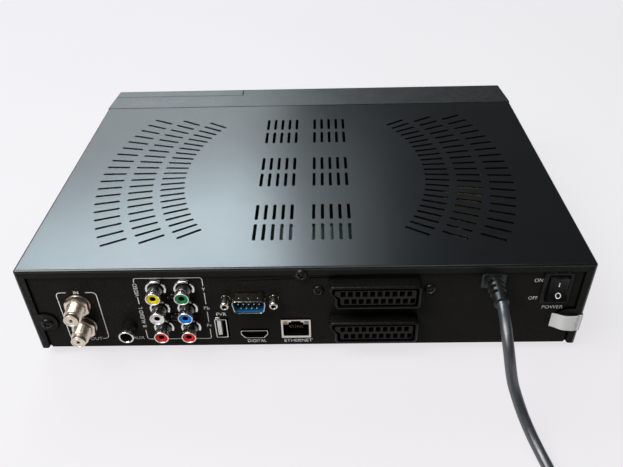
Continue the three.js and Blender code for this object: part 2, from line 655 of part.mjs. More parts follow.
// Bezel: shell with a tongue under the cover, a recess behind the flap and openings in its face
function frontBezel() {
  const wall = bezel.wall;
  const backY = seamY - gap;
  const shell = cut(
    bezelBlock(0, backY),
    bezelBlock(wall, backY + overrun),
  );
  const recess = block(
    at.flapEdge,
    halfWidth + overrun,
    frontY - overrun,
    flapWallY,
    up(flap.sill),
    up(body.height + overrun),
  );
  const inBlock = bezelBlock(0, backY);
  const recessWall = block(
    at.flapEdge - wall,
    halfWidth,
    flapWallY,
    flapWallY + wall,
    up(0),
    up(body.height),
  ).intersect(inBlock);
  const sideWall = block(
    at.flapEdge - wall, at.flapEdge, frontY, flapWallY + wall, up(0), up(body.height),
  ).intersect(inBlock);
  const tongueHalf = halfWidth - body.sheet - gap * 2;
  const [tongueLow, tongueHigh] = [up(tray.sheet + gap), up(body.height - body.sheet - gap)];
  const tongueBackY = seamY + bezel.tongue;
  const tongue = cut(
    block(-tongueHalf, tongueHalf, backY - wall, tongueBackY, tongueLow, tongueHigh),
    block(
      bezel.tongueWall - tongueHalf,
      tongueHalf - bezel.tongueWall,
      backY - wall - overrun,
      tongueBackY + overrun,
      tongueLow + bezel.tongueWall,
      tongueHigh - bezel.tongueWall,
    ),
  );
  const endX = halfWidth - bezel.taper - flap.wall - gap;
  const armX = endX - flap.arm;
  const arm = join(
    barX(hinge.y, hinge.z, flapClear, armX, endX, facets.jack),
    block(armX, endX, hinge.y, flapWallY + wall / 2, hinge.z - flapClear, hinge.z + flapClear),
  );
  const bosses = bossPlaces.map(([x, z]) => (
    barY(x, z, bezel.bossRadius, faceY - wall / 2, frontBoardY - gap, facets.tiny)
  ));
  const spigots = bossPlaces.map(([x, z]) => (
    barY(x, z, bezel.spigotRadius, faceY, frontBoardY + board.thickness + bezel.spigotRadius, facets.tiny)
  ));
  const pinBore = (x0, x1) => barX(hinge.y, hinge.z, flap.pinRadius + gap, x0, x1);
  const throughFace = [frontY - overrun, faceY + overrun / 2];
  const window = plateY(
    roundedOutline(at.glassWidth, rise.glassHeight, key.corner),
    ...throughFace,
    at.glass,
    up(rise.glass),
  );
  const standbyHole = barY(at.standby, up(rise.glass), standby.radius + gap, ...throughFace);
  const keyHoles = keyPlaces.map((x) => (
    plateY(
      roundedOutline(key.width + gap * 2, key.height + gap * 2, key.corner + gap), ...throughFace, x, up(rise.key),
    )
  ));
  const mouths = [0, 1].map((i) => cardMouth(seatZ + cage.firstSlot + i * cage.slotPitch, cage.mouth, cage.slot));
  const readerMouth = cardMouth(readerLow + (reader.height - reader.slot) / 2, reader.mouth, reader.slot);
  return cut(
    join(cut(shell, recess), recessWall, sideWall, tongue, arm, ...bosses, ...spigots),
    pinBore(armX - overrun, endX + overrun),
    pinBore(at.flapEdge - flap.pinReach - gap, at.flapEdge + overrun),
    window,
    standbyHole,
    ...keyHoles,
    ...mouths,
    readerMouth,
  );
}

// A card's way through the wall behind the flap
function cardMouth(low, width, height) {
  return block(
    at.cage - width / 2 - gap,
    at.cage + width / 2 + gap,
    flapWallY - overrun,
    flapWallY + bezel.wall + overrun / 2,
    low - gap,
    low + height + gap,
  );
}
add('front_bezel', frontBezel(), finishes.plasticBlack);

// Flap: face, top lip and end wall in one, with its two hinge pins moulded on
function frontFlap() {
  const [x0, x1] = [at.flapEdge + gap, halfWidth];
  const bottom = hinge.z - flap.hingeIn;
  const outer = bezelBlock(0, seamY).intersect(
    block(x0, x1, frontY - overrun, flapBackY, bottom, up(body.height + overrun)),
  );
  const endWall = halfWidth - bezel.taper - flap.wall;
  const inner = block(
    x0 - overrun,
    endWall,
    frontY + flap.wall,
    flapBackY + overrun,
    bottom - overrun,
    up(body.height) - flap.wall,
  );
  const rib = join(
    barX(hinge.y, hinge.z, flapRib.radius, x0, x0 + flapRib.width, facets.round),
    block(x0, x0 + flapRib.width, frontY + flap.wall / 2, hinge.y, hinge.z, hinge.z + flapRib.radius),
  ).intersect(outer);
  const sweep = flap.hingeIn;
  const cornerCut = cut(
    block(x0 - overrun, x1 + overrun, frontY - overrun, hinge.y, bottom - overrun, hinge.z),
    barX(hinge.y, hinge.z, sweep, x0 - overrun * 2, x1 + overrun * 2, facets.round * 2),
  );
  const rearReach = flapBackY - hinge.y - gap / 2;
  const rearCut = cut(
    block(x0 - overrun, x1 + overrun, hinge.y, flapBackY + overrun, bottom - overrun, hinge.z),
    barX(hinge.y, hinge.z, rearReach, x0 - overrun * 2, x1 + overrun * 2, facets.round * 2),
  );
  const outerPin = barX(hinge.y, hinge.z, flap.pinRadius, endWall - gap - flap.pinReach, endWall + flap.wall / 2);
  const innerPin = barX(hinge.y, hinge.z, flap.pinRadius, x0 - flap.pinReach, x0 + flapRib.width / 2);
  return join(cut(join(cut(outer, inner), rib), cornerCut, rearCut), outerPin, innerPin);
}
add('front_flap', frontFlap(), finishes.plasticBlack);

// Display window: pane in the face, rim behind it
function displayWindow() {
  const pane = plateY(
    roundedOutline(at.glassWidth - gap * 2, rise.glassHeight - gap * 2, key.corner),
    frontY,
    faceY + gap * 2,
    at.glass,
    up(rise.glass),
  );
  const rim = plateY(
    roundedOutline(at.glassWidth + glass.rim * 2, rise.glassHeight + glass.rim * 2, key.corner),
    faceY + gap,
    faceY + gap + glass.rimDepth,
    at.glass,
    up(rise.glass),
  );
  return join(pane, rim);
}
add('display_window', displayWindow(), finishes.smokedPane);

// A push button: cap, rim behind the face and stem towards its switch
const plungerFrontY = frontBoardY - gap - keySwitch.plungerHeight;

function pushButton(x, z, cap, rim) {
  const rimFrontY = faceY + gap;
  return join(
    plateY(cap, frontY + press.sink, rimFrontY + press.rimDepth / 2, x, z),
    plateY(rim, rimFrontY, rimFrontY + press.rimDepth, x, z),
    barY(x, z, press.stemRadius, rimFrontY, plungerFrontY - press.travel - gap, facets.tiny),
  );
}

function discOutline(radius) {
  const shape = new THREE.Shape();
  for (let i = 0; i < facets.round * 2; i += 1) {
    const angle = i / (facets.round * 2) * Math.PI * 2;
    const [a, b] = [radius * Math.cos(angle), radius * Math.sin(angle)];
    if (i) shape.lineTo(a, b);
    else shape.moveTo(a, b);
  }
  return shape;
}
add(
  'standby_button',
  pushButton(
    at.standby, up(rise.glass), discOutline(standby.radius - gap / 2), discOutline(standby.radius + standby.rim),
  ),
  finishes.plasticBlack,
);
keyNames.forEach((name, i) => add(
  name,
  pushButton(
    keyPlaces[i],
    up(rise.key),
    roundedOutline(key.width, key.height, key.corner),
    roundedOutline(key.width + key.rim * 2, key.height + key.rim * 2, key.corner),
  ),
  finishes.plasticBlack,
));

// Front board with the display and the key switches soldered on
function frontBoardAssembly() {
  const plate = block(
    at.frontBoardLeft, frontBoardRight, frontBoardY, frontBoardY + board.thickness,
    up(rise.frontBoardLow), up(rise.frontBoardHigh),
  );
  const holes = bossPlaces.map(([x, z]) => barY(
    x, z, bezel.spigotRadius + gap, frontBoardY - overrun, frontBoardY + board.thickness + overrun, facets.tiny,
  ));
  const lamp = block(
    at.glass - display.width / 2,
    at.glass + display.width / 2,
    faceY + gap * 2 + glass.rimDepth,
    frontBoardY + board.thickness / 2,
    up(rise.glass) - display.height / 2,
    up(rise.glass) + display.height / 2,
  );
  const buttonPlaces = [[at.standby, up(rise.glass)], ...keyPlaces.map((x) => [x, up(rise.key)])];
  const switches = buttonPlaces.map(([x, z]) => {
    const half = keySwitch.size / 2;
    const back = frontBoardY + board.thickness / 2;
    return join(
      block(x - half, x + half, frontBoardY - keySwitch.height, back, z - half, z + half),
      barY(x, z, keySwitch.plungerRadius, plungerFrontY, back, facets.tiny),
    );
  });
  return join(cut(plate, ...holes), lamp, ...switches);
}
add('front_board', frontBoardAssembly(), finishes.boardGreen);

// Main board and power board, each with its heat sink
function drilled(shape, places) {
  const [low, high] = [boardZ - board.thickness, boardZ];
  const holes = places.map(([x, depth]) => (
    barZ(x, insideY - depth, tray.spigotRadius + gap, low - overrun, high + overrun, facets.tiny)
  ));
  return cut(plateZ(shape, low, high), ...holes);
}
const boardBackY = insideY - board.fromPanel;
const boardFrontY = trayWallY + tray.sheet + mainBoard.frontGap;

// A row of fins: along Y they stand on a plate, and along X on a base
function powerFins() {
  const [x, y] = [at.powerSink, insideY - powerSinkDepth];
  const [low, high] = [boardZ - board.thickness / 2, boardZ + powerSink.height];
  const half = powerSink.length / 2;
  const plate = block(x, x + powerSink.plate, y - half, y + half, low, high);
  const fins = Array.from({ length: sinkFins }, (unused, i) => {
    const finY = y - half + i / (sinkFins - 1) * (powerSink.length - powerSink.plate);
    return block(x, x + powerSink.width, finY, finY + powerSink.plate, low, high);
  });
  return join(plate, ...fins);
}

function chipFins() {
  const [x, y] = [0, insideY - chipSink.fromPanel];
  const half = chipSink.size / 2;
  const low = boardZ - board.thickness / 2;
  const base = block(x - half, x + half, y - half, y + half, low, boardZ + chipSink.base);
  const fins = Array.from({ length: sinkFins }, (unused, i) => {
    const finX = x - half + i / (sinkFins - 1) * (chipSink.size - chipSink.fin);
    return block(finX, finX + chipSink.fin, y - half, y + half, low, boardZ + chipSink.height);
  });
  return join(base, ...fins);
}

add(
  'main_board',
  join(
    drilled(
      outline([
        [at.mainBoardLeft, boardBackY], [at.mainBoardLeft, insideY - mainBoard.depth],
        [mainFrontLeft, insideY - mainBoard.depth], [mainFrontLeft, boardFrontY],
        [mainFrontRight, boardFrontY], [mainFrontRight, insideY - mainBoard.depth],
        [at.mainBoardRight, insideY - mainBoard.depth], [at.mainBoardRight, boardBackY],
      ]),
      [...mainHoles, ...frontHoles],
    ),
    chipFins(),
  ),
  finishes.boardGreen,
);
add(
  'power_board',
  join(
    drilled(
      outline([
        [at.powerBoardLeft, boardBackY], [at.powerBoardLeft, insideY - powerBoard.depth],
        [at.powerBoardRight, insideY - powerBoard.depth], [at.powerBoardRight, boardBackY],
      ]),
      powerHoles,
    ),
    powerFins(),
  ),
  finishes.boardGreen,
);

// Transformer and bulk capacitor
function transformerBlock() {
  const y = insideY - transformerDepth;
  const [w, d] = [transformer.width / 2, transformer.depth / 2];
  const core = block(
    at.transformer - w, at.transformer + w, y - transformer.windingInset, y + transformer.windingInset,
    seatZ, seatZ + transformer.height,
  );
  const winding = block(
    at.transformer - w + transformer.windingInset,
    at.transformer + w - transformer.windingInset,
    y - d,
    y + d,
    seatZ + transformer.windingOut,
    seatZ + transformer.height - transformer.windingOut,
  );
  const base = block(
    at.transformer - w + transformer.windingOut, at.transformer + w - transformer.windingOut, y - d, y + d,
    seatZ, seatZ + transformer.windingOut + gap,
  );
  return join(core, winding, base);
}
add('transformer', transformerBlock(), finishes.ferrite);

add(
  'bulk_capacitor',
  barZ(
    at.capacitor, insideY - capacitor.fromPanel, capacitor.radius, seatZ, seatZ + capacitor.height, facets.jack,
  ),
  finishes.sleeveBlue,
);

// Ribbon between the two boards: an arch with a header at each end
function ribbonCable() {
  const y = insideY - ribbon.fromPanel;
  const [y0, y1] = [y - ribbon.width / 2, y + ribbon.width / 2];
  const x = (at.mainBoardLeft + at.powerBoardRight) / 2;
  const [outer, inner] = [ribbon.span / 2, ribbon.span / 2 - ribbon.thickness];
  const spring = seatZ + ribbon.headerHeight - ribbon.thickness;
  const arch = cut(
    barY(x, spring, outer, y0, y1, facets.round),
    barY(x, spring, inner, y0 - overrun, y1 + overrun, facets.round),
    block(x - ribbon.span, x + ribbon.span, y0 - overrun, y1 + overrun, spring - ribbon.span, spring),
  );
  const headers = [-1, 1].map((side) => {
    const middle = x + side * (ribbon.span - ribbon.thickness) / 2;
    return block(
      middle - ribbon.header / 2, middle + ribbon.header / 2, y0 - ribbon.thickness, y1 + ribbon.thickness,
      seatZ, seatZ + ribbon.headerHeight,
    );
  });
  return join(arch, ...headers);
}
add('ribbon_cable', ribbonCable(), finishes.ribbonGrey);

// Card slot cage with the card reader on its top
function cardCage() {
  const [x0, x1] = [at.cage - cage.width / 2, at.cage + cage.width / 2];
  const slots = [0, 1].map((i) => {
    const low = seatZ + cage.firstSlot + i * cage.slotPitch;
    return block(
      at.cage - cage.mouth / 2, at.cage + cage.mouth / 2, cageFrontY - overrun, cageFrontY + cage.slotDepth,
      low, low + cage.slot,
    );
  });
  const low = readerLow + (reader.height - reader.slot) / 2;
  const readerSlot = block(
    at.cage - reader.mouth / 2, at.cage + reader.mouth / 2, cageFrontY - overrun, cageFrontY + reader.slotDepth,
    low, low + reader.slot,
  );
  const housing = join(
    block(x0, x1, cageFrontY, cageFrontY + cage.depth, seatZ, seatZ + cage.height),
    block(x0, x1, cageFrontY, cageFrontY + reader.depth, seatZ + cage.height / 2, readerLow + reader.height),
  );
  return cut(housing, ...slots, readerSlot);
}
add('card_slot_cage', cardCage(), finishes.zinc);

// Tuner can and the aerial connectors
add(
  'tuner_can',
  block(
    at.aerial - can.width / 2, at.aerial + can.width / 2, insideY - can.depth, insideY,
    up(board.top + can.lift), up(rise.can),
  ),
  finishes.zinc,
);

function aerialBarrel(z) {
  const tip = aerial.reach;
  return turned([
    [0, -body.sheet],
    [aerial.radius, -body.sheet],
    [aerial.radius, tip - aerial.tipLength],
    [aerial.tipRadius, tip - aerial.tipLength],
    [aerial.tipRadius, tip],
    [aerial.bore + aerial.boreChamfer, tip],
    [aerial.bore, tip - aerial.boreChamfer],
    [aerial.bore, tip - aerial.boreDepth],
    [0, tip - aerial.boreDepth],
  ], at.aerial, panelY, z);
}
['aerial_input', 'aerial_output'].forEach((name, i) => add(name, aerialBarrel(aerialPlaces[i]), finishes.nickel));

// A ring of some outline round an aerial barrel
const aerialRing = (z, radius, y0, y1, sides) => cut(
  barY(at.aerial, z, radius, y0, y1, sides),
  barY(at.aerial, z, aerial.radius + gap, y0 - overrun, y1 + overrun),
);
const washerY = panelY + gap;
const nutY = washerY + aerialWasher.thickness + gap;
const nutRadius = (aerial.radius + gap + aerialNut.wall) * 2 / Math.sqrt(3);
['upper', 'lower'].forEach((place, i) => {
  const z = aerialPlaces[i];
  add(
    `aerial_washer_${place}`,
    aerialRing(z, aerialWasher.radius, washerY, washerY + aerialWasher.thickness, facets.round),
    finishes.nickel,
  );
  add(
    `aerial_nut_${place}`,
    aerialRing(z, nutRadius, nutY, nutY + aerialNut.thickness, facets.tiny),
    finishes.nickel,
  );
});

// Phono jacks: barrel with a ring at its mouth and a hole in the middle
function jackBarrel(x, z, reach) {
  return turned([
    [0, -body.sheet],
    [jack.radius, -body.sheet],
    [jack.radius, reach],
    [jack.radius - jack.lip, reach],
    [jack.radius - jack.lip, reach - jack.recess],
    [jack.bore, reach - jack.recess],
    [jack.bore, reach - jack.boreDepth],
    [0, reach - jack.boreDepth],
  ], x, panelY, z, facets.jack);
}
const digitalHalf = digitalJack.blockWidth / 2;
add(
  'digital_jack',
  join(
    jackBarrel(at.digitalJack, up(digitalMiddle), digitalJack.reach),
    block(
      at.digitalJack - digitalHalf, at.digitalJack + digitalHalf, insideY - digitalJack.blockDepth, insideY,
      seatZ, up(digitalMiddle) + digitalHalf,
    ),
    barY(at.digitalJack, up(digitalMiddle), jack.radius, insideY - gap, panelY, facets.jack),
  ),
  finishes.socketBlack,
);
const jackNames = ['yellow', 'white', 'red', 'green', 'blue', 'red_video'];
const jackFinishes = ['yellow', 'white', 'red', 'green', 'blue', 'red'];
phonoPlaces.forEach(([x, z], i) => (
  add(`phono_jack_${jackNames[i]}`, jackBarrel(x, z, phono.reach), finishes[jackFinishes[i]])
));

function phonoBlock() {
  const right = at.phono + phono.columnPitch * (phonoColumns - 1) + phono.blockMargin;
  const top = up(rise.phono + rise.phonoPitch * (phonoRows - 1)) + phono.blockMargin;
  const faceAt = insideY - ring.plate - gap;
  const housing = block(at.phono - phono.blockMargin, right, insideY - phono.blockDepth, faceAt, seatZ, top);
  const bores = phonoScrewPlaces.map(([x, z]) => (
    barY(x, z, screw.shaft + gap, faceAt - screw.shaftLength, insideY + overrun, facets.small)
  ));
  return cut(housing, ...bores);
}
add('phono_block', phonoBlock(), finishes.socketBlack);

// Ground plate behind the panel, with a split ring out through the panel round each phono barrel
function phonoGroundPlate() {
  const right = at.phono + phono.columnPitch * (phonoColumns - 1) + phono.blockMargin;
  const top = up(rise.phono + rise.phonoPitch * (phonoRows - 1)) + phono.blockMargin;
  const plate = block(at.phono - phono.blockMargin, right, insideY - ring.plate, insideY, seatZ, top);
  const rings = phonoPlaces.map(([x, z]) => (
    barY(x, z, ringInner + ring.wall, insideY - ring.plate, panelY + ring.depth, facets.jack)
  ));
  const bores = phonoPlaces.map(([x, z]) => (
    barY(x, z, ringInner, insideY - overrun, panelY + ring.depth + overrun, facets.jack)
  ));
  const splits = phonoPlaces.map(([x, z]) => block(
    x - ring.split / 2, x + ring.split / 2, panelY + gap, panelY + ring.depth + overrun, z - ringInner * 2, z,
  ));
  const holes = phonoScrewPlaces.map(([x, z]) => (
    barY(x, z, screw.shaft + gap, insideY - overrun, insideY + overrun, facets.small)
  ));
  return cut(join(plate, ...rings), ...bores, ...splits, ...holes);
}
add('phono_ground_plate', phonoGroundPlate(), finishes.nickel);

// USB socket: shell with a tongue inside
function usbPort() {
  const z = up(usbMiddle);
  const [w, h] = [usb.width / 2, usb.height / 2];
  const front = panelY + usb.proud;
  const back = panelY - usb.depth;
  return join(
    cut(
      block(at.usb - w, at.usb + w, back, front, z - h, z + h),
      block(
        at.usb - w + usb.wall, at.usb + w - usb.wall, back + usb.wall, front + overrun,
        z - h + usb.wall, z + h - usb.wall,
      ),
    ),
    block(
      at.usb + usb.tongueShift - usb.tongue / 2, at.usb + usb.tongueShift + usb.tongue / 2,
      back, front - usb.wall * 2,
      z - h + usb.tongue, z + h - usb.tongue,
    ),
    block(at.usb - w, at.usb + w, back, panelY - usb.depth / 2, seatZ, z - h + usb.wall),
  );
}
add('usb_port', usbPort(), finishes.zinc);

// Serial plug: shell on a flange behind the panel, nine pins, and its two jackscrews
function serialPort() {
  const z = up(rise.serial);
  const [w, h] = [serial.flangeWidth / 2, serial.flangeHeight / 2];
  const backY = insideY - serial.flangeThickness;
  const shell = cut(
    plateY(serialOutline(0), backY, panelY + serial.reach, at.serial, z),
    plateY(
      serialOutline(-serial.wall), panelY + serial.reach - serial.cavity, panelY + serial.reach + overrun,
      at.serial, z,
    ),
  );
  const flangePlate = block(at.serial - w, at.serial + w, backY, insideY, z - h, z + h);
  const back = plateY(serialOutline(0), backY - serial.backDepth, backY + gap, at.serial, z);
  const bores = serialPostPlaces.map(([x, postZ]) => (
    barY(x, postZ, screw.hole, backY - overrun, insideY + overrun, facets.tiny)
  ));
  const pinFloor = panelY + serial.reach - serial.cavity;
  const pins = serialRowPins.flatMap((count, row) => Array.from({ length: count }, (unused, i) => barY(
    at.serial + (i - (count - 1) / 2) * serial.pinPitch,
    z + (1 / 2 - row) * serial.rowPitch,
    serial.pinRadius,
    pinFloor - gap,
    pinFloor + serial.pinReach,
    facets.tiny,
  )));
  return join(cut(join(shell, flangePlate, back), ...bores), ...pins);
}
add('serial_port', serialPort(), finishes.serialBlue);

['left', 'right'].forEach((place, i) => {
  const [x, z] = serialPostPlaces[1 - i];
  const shank = barY(
    x, z, screw.shaft, insideY - serial.flangeThickness * 2, panelY + serial.flangeThickness, facets.tiny,
  );
  const bore = barY(
    x, z, serial.postBore, panelY + serial.postReach - serial.postBoreDepth, panelY + serial.postReach + overrun,
    facets.tiny,
  );
  const head = barY(x, z, serial.postRadius, panelY + gap, panelY + serial.postReach, facets.jack);
  add(`serial_jackscrew_${place}`, join(cut(head, bore), shank), finishes.nickel);
});

// HDMI-size port
function hdmiPort() {
  const z = up(hdmiMiddle);
  const front = panelY + hdmi.proud;
  const back = panelY - hdmi.depth;
  const tongueHalf = hdmi.width / 2 - hdmi.slope - hdmi.wall;
  return join(
    cut(
      plateY(hdmiOutline(0), back, front, at.hdmi, z),
      plateY(hdmiOutline(-hdmi.wall), back + hdmi.wall, front + overrun, at.hdmi, z),
    ),
    block(at.hdmi - tongueHalf, at.hdmi + tongueHalf, back, front - hdmi.wall, z, z + hdmi.tongue),
  );
}
add('hdmi_port', hdmiPort(), finishes.zinc);

// Network socket: the mouth has a key way at its top
function ethernetPort() {
  const low = up(ethernetLow);
  const front = panelY + ethernet.proud;
  const w = ethernet.width / 2;
  const mouthTop = low + ethernet.mouthLow + ethernet.mouthHeight;
  const mouth = (width, z0, z1) => block(
    at.ethernet - width / 2, at.ethernet + width / 2, front - ethernet.mouthDepth, front + overrun, z0, z1,
  );
  return cut(
    block(at.ethernet - w, at.ethernet + w, panelY - ethernet.depth, front, low, low + ethernet.height),
    mouth(ethernet.mouthWidth, low + ethernet.mouthLow, mouthTop),
    mouth(ethernet.keyWidth, mouthTop - gap, low + ethernet.height + overrun),
  );
}
add('ethernet_port', ethernetPort(), finishes.zinc);

// SCART sockets: tapered shell, channel, and a block with two rows of slots
function scartSocket(z, seat, half) {
  const front = panelY + scart.reach;
  const shellShape = scartOutline(-scart.taper);
  const flare = scart.taper;
  const root = plateY(scartOutline(0), insideY - gap, panelY + scart.reach / 2, at.scart, z);
  const nose = plateY(shellShape, panelY + scart.reach / 2 - flare, front, at.scart, z);
  const channel = cut(
    plateY(scartOutline(-scart.taper - scart.rim), front - scart.channelDepth, front + overrun, at.scart, z),
    plateY(
      scartOutline(-scart.taper - scart.rim - scart.channel),
      front - scart.channelDepth - overrun, front - scart.blockSink, at.scart, z,
    ),
  );
  const slots = [];
  for (let row = 0; row < 2; row += 1) {
    for (let i = 0; i < scartSlots; i += 1) {
      const slot = new THREE.BoxGeometry(scart.slotWidth, scart.slotDepth * 2, scart.slotHeight);
      const shift = (row ? -1 : 1) * scart.slotPitch / 4;
      slot.translate(
        at.scart + shift + (i - (scartSlots - 1) / 2) * scart.slotPitch,
        front - scart.blockSink,
        z + (1 / 2 - row) * scart.rowPitch,
      );
      slots.push(slot);
    }
  }
  const back = block(
    at.scart - half, at.scart + half, insideY - scart.backDepth, insideY, seat, z + scart.height / 2,
  );
  const bores = scartScrewPlaces.map(([x, screwZ]) => (
    barY(x, screwZ, screw.shaft + gap, insideY - screw.shaftLength - gap, insideY + overrun, facets.small)
  ));
  return cut(join(root, nose, back), channel, solidOf(mergeGeometries(slots)), ...bores);
}
const upperSeat = scartPlaces[1] + scart.height / 2 + gap;
const upperHalf = scartScrewReach + screw.headRadius;
add('scart_upper', scartSocket(scartPlaces[0], upperSeat, upperHalf), finishes.socketBlack);
add('scart_lower', scartSocket(scartPlaces[1], seatZ, scart.width / 2), finishes.socketBlack);

// Mains switch: housing with a frame, and the rocker in it
const pivot = { y: panelY - rocker.pivotIn, z: up(switchMiddle) };

function switchHousing() {
  const [x, z] = [at.mainsSwitch, up(switchMiddle)];
  const centred = (width, height, y0, y1) => (
    block(x - width / 2, x + width / 2, y0, y1, z - height / 2, z + height / 2)
  );
  const mouthHeight = (rocker.radius + gap) * 2;
  const frontFace = panelY + mainsSwitch.frameDepth;
  const blades = [-1, 0, 1].map((i) => block(
    x - mainsSwitch.bladeWidth / 2,
    x + mainsSwitch.bladeWidth / 2,
    panelY - mainsSwitch.depth - mainsSwitch.bladeLength,
    panelY - mainsSwitch.depth + gap,
    z + i * mainsSwitch.bladePitch - mainsSwitch.bladeThickness / 2,
    z + i * mainsSwitch.bladePitch + mainsSwitch.bladeThickness / 2,
  ));
  return cut(
    join(
      centred(mainsSwitch.width, mainsSwitch.height, panelY - mainsSwitch.depth, panelY + gap * 2),
      centred(switchFrame.width, switchFrame.height, panelY + gap, frontFace),
      ...blades,
    ),
    centred(mainsSwitch.mouthWidth, mouthHeight, frontFace - mainsSwitch.mouthDepth, frontFace + overrun),
    barX(pivot.y, pivot.z, rocker.trunnion + gap, x - mainsSwitch.width, x + mainsSwitch.width),
  );
}
add('switch_housing', switchHousing(), finishes.socketBlack);

function rockerBlock() {
  const tilt = rockerTiltTurns * Math.PI * 2;
  const endAngle = tilt + Math.asin(rocker.middle * Math.cos(tilt) / rocker.radius);
  const skirtAngle = -Math.asin(rocker.skirt / rocker.radius);
  const points = [];
  for (const side of [1, -1]) {
    for (let i = 0; i <= facets.corner; i += 1) {
      const share = side > 0 ? i / facets.corner : 1 - i / facets.corner;
      const angle = skirtAngle + share * (endAngle - skirtAngle);
      points.push([rocker.radius * Math.sin(angle), side * rocker.radius * Math.cos(angle)]);
    }
    if (side > 0) points.push([rocker.middle, 0]);
  }
  const half = mainsSwitch.mouthWidth / 2 - gap;
  const pins = rocker.trunnionLength;
  const neutral = join(
    plateX(outline(points), -half, half),
    barX(0, 0, rocker.trunnion, -half - pins, half + pins),
  );
  return neutral.rotate([rockerTiltTurns * 360, 0, 0]).translate([at.mainsSwitch, pivot.y, pivot.z]);
}
add('power_rocker', rockerBlock(), finishes.socketBlack);

// Screws: a domed head on a plain shaft, along Y, head outwards
function panelScrew(x, z, size, seatY) {
  return turned([
    [0, seatY - size.shaftLength],
    [size.shaft, seatY - size.shaftLength],
    [size.shaft, seatY],
    [size.headRadius, seatY],
    [size.headRadius, seatY + size.headHeight / 3],
    [size.crownRadius, seatY + size.headHeight],
    [0, seatY + size.headHeight],
  ], x, 0, z, facets.small);
}
['left', 'top', 'right'].forEach((place, i) => {
  const [x, z] = coverScrewPlaces[i];
  add(`cover_screw_${place}`, panelScrew(x, z, coverScrew, rearY + gap), finishes.boltBlack);
});
['lower', 'upper'].forEach((place, i) => {
  const [x, z] = phonoScrewPlaces[i];
  add(`phono_screw_${place}`, panelScrew(x, z, screw, panelY + gap), finishes.boltBlack);
});
['right', 'left'].forEach((place, i) => {
  const [x, z] = scartScrewPlaces[i];
  add(`scart_screw_${place}`, panelScrew(x, z, screw, panelY + gap), finishes.boltBlack);
});

// Paper seal: from the panel over the screw, round the edge and onto the side
function paperSeal() {
  const t = seal.thickness;
  const edge = -halfWidth - gap;
  const crest = coverScrewPlaces[2][0];
  const start = crest + flange.tabRadius + seal.pastTab;
  const lifted = rearY + gap + coverScrew.headHeight + gap;
  const line = [
    [start, panelY + gap],
    [crest + coverScrew.headRadius, lifted],
    [crest - coverScrew.headRadius, lifted],
    [edge + flange.side / 3, rearY + gap],
    [edge, rearY + gap],
    [edge, rearY - seal.wrap],
  ];
  const outer = [
    [edge - t, rearY - seal.wrap],
    [edge - t, rearY + gap + t],
    [edge + flange.side / 3, rearY + gap + t],
    [crest - coverScrew.headRadius, lifted + t],
    [crest + coverScrew.headRadius, lifted + t],
    [start, panelY + gap + t],
  ];
  const strip = extruded(outline([...line, ...outer]), seal.width);
  strip.translate(0, 0, up(tabHeight - seal.below));
  const slope = seal.slopeShare;
  const lean = new THREE.Matrix4().set(
    1, 0, 0, 0,
    0, 1, 0, 0,
    slope, slope, 1, slope * (-edge - rearY),
    0, 0, 0, 1,
  );
  strip.applyMatrix4(lean);
  return solidOf(strip);
}
add('paper_seal', paperSeal(), finishes.paper);

// Feet under the corners of the tray
const footPlaces = {
  foot_front_left: [-1, trayWallY + foot.inset],
  foot_front_right: [1, trayWallY + foot.inset],
  foot_rear_left: [-1, insideY - foot.inset],
  foot_rear_right: [1, insideY - foot.inset],
};
for (const [name, [side, y]] of Object.entries(footPlaces)) {
  const x = side * (halfWidth - foot.inset);
  add(name, barZ(x, y, foot.topRadius, 0, foot.height, facets.jack, foot.radius), finishes.rubberBlack);
}

// Strain relief: square flange outside, collar inside, ribbed boot round the cord
function cordGland() {
  const [x, z] = [at.gland, up(glandMiddle)];
  const radiusAt = (along) => {
    const share = (along - gland.thickness) / (gland.reach - gland.thickness);
    return gland.baseRadius + (gland.tipRadius - gland.baseRadius) * share;
  };
  const insideFace = insideY - panelY;
  const profile = [
    [0, insideFace - gland.collarDepth - gland.backReach],
    [cord.radius, insideFace - gland.collarDepth - gland.backReach],
    [cord.radius, insideFace - gland.collarDepth],
    [gland.collar, insideFace - gland.collarDepth],
    [gland.collar, insideFace],
    [gland.neck, insideFace],
    [gland.neck, gland.thickness / 2],
    [gland.baseRadius, gland.thickness / 2],
    [gland.baseRadius, gland.ribStart],
  ];
  for (let i = 0; i < glandRibs; i += 1) {
    const start = gland.ribStart + i * gland.ribPitch;
    const grooveEnd = start + gland.ribPitch - gland.ribWidth;
    profile.push([radiusAt(start) - gland.groove, start]);
    profile.push([radiusAt(grooveEnd) - gland.groove, grooveEnd]);
    profile.push([radiusAt(grooveEnd), grooveEnd]);
    profile.push([radiusAt(start + gland.ribPitch), start + gland.ribPitch]);
  }
  profile.push([gland.tipRadius, gland.reach]);
  profile.push([0, gland.reach]);
  const plate = plateY(
    roundedOutline(gland.width, gland.height, gland.corner), panelY + gap, panelY + gland.thickness, x, z,
  );
  return join(turned(profile, x, panelY, z, facets.jack), plate);
}
add('cord_gland', cordGland(), finishes.rubberBlack);

// Free stretch of the cord, from the strain relief to the coil
const [exitZ, restZ] = [cordRoute[0][2], cordRoute[cordRoute.length - 1][2]];
const fallScale = (up(glandMiddle) - restZ) / (exitZ - restZ);
const routePoints = cordRoute.map(([x, y, z]) => (
  new THREE.Vector3(at.gland + x, panelY + gland.reach + y, restZ + (z - restZ) * fallScale)
));
const routeCurve = new THREE.CatmullRomCurve3(routePoints);

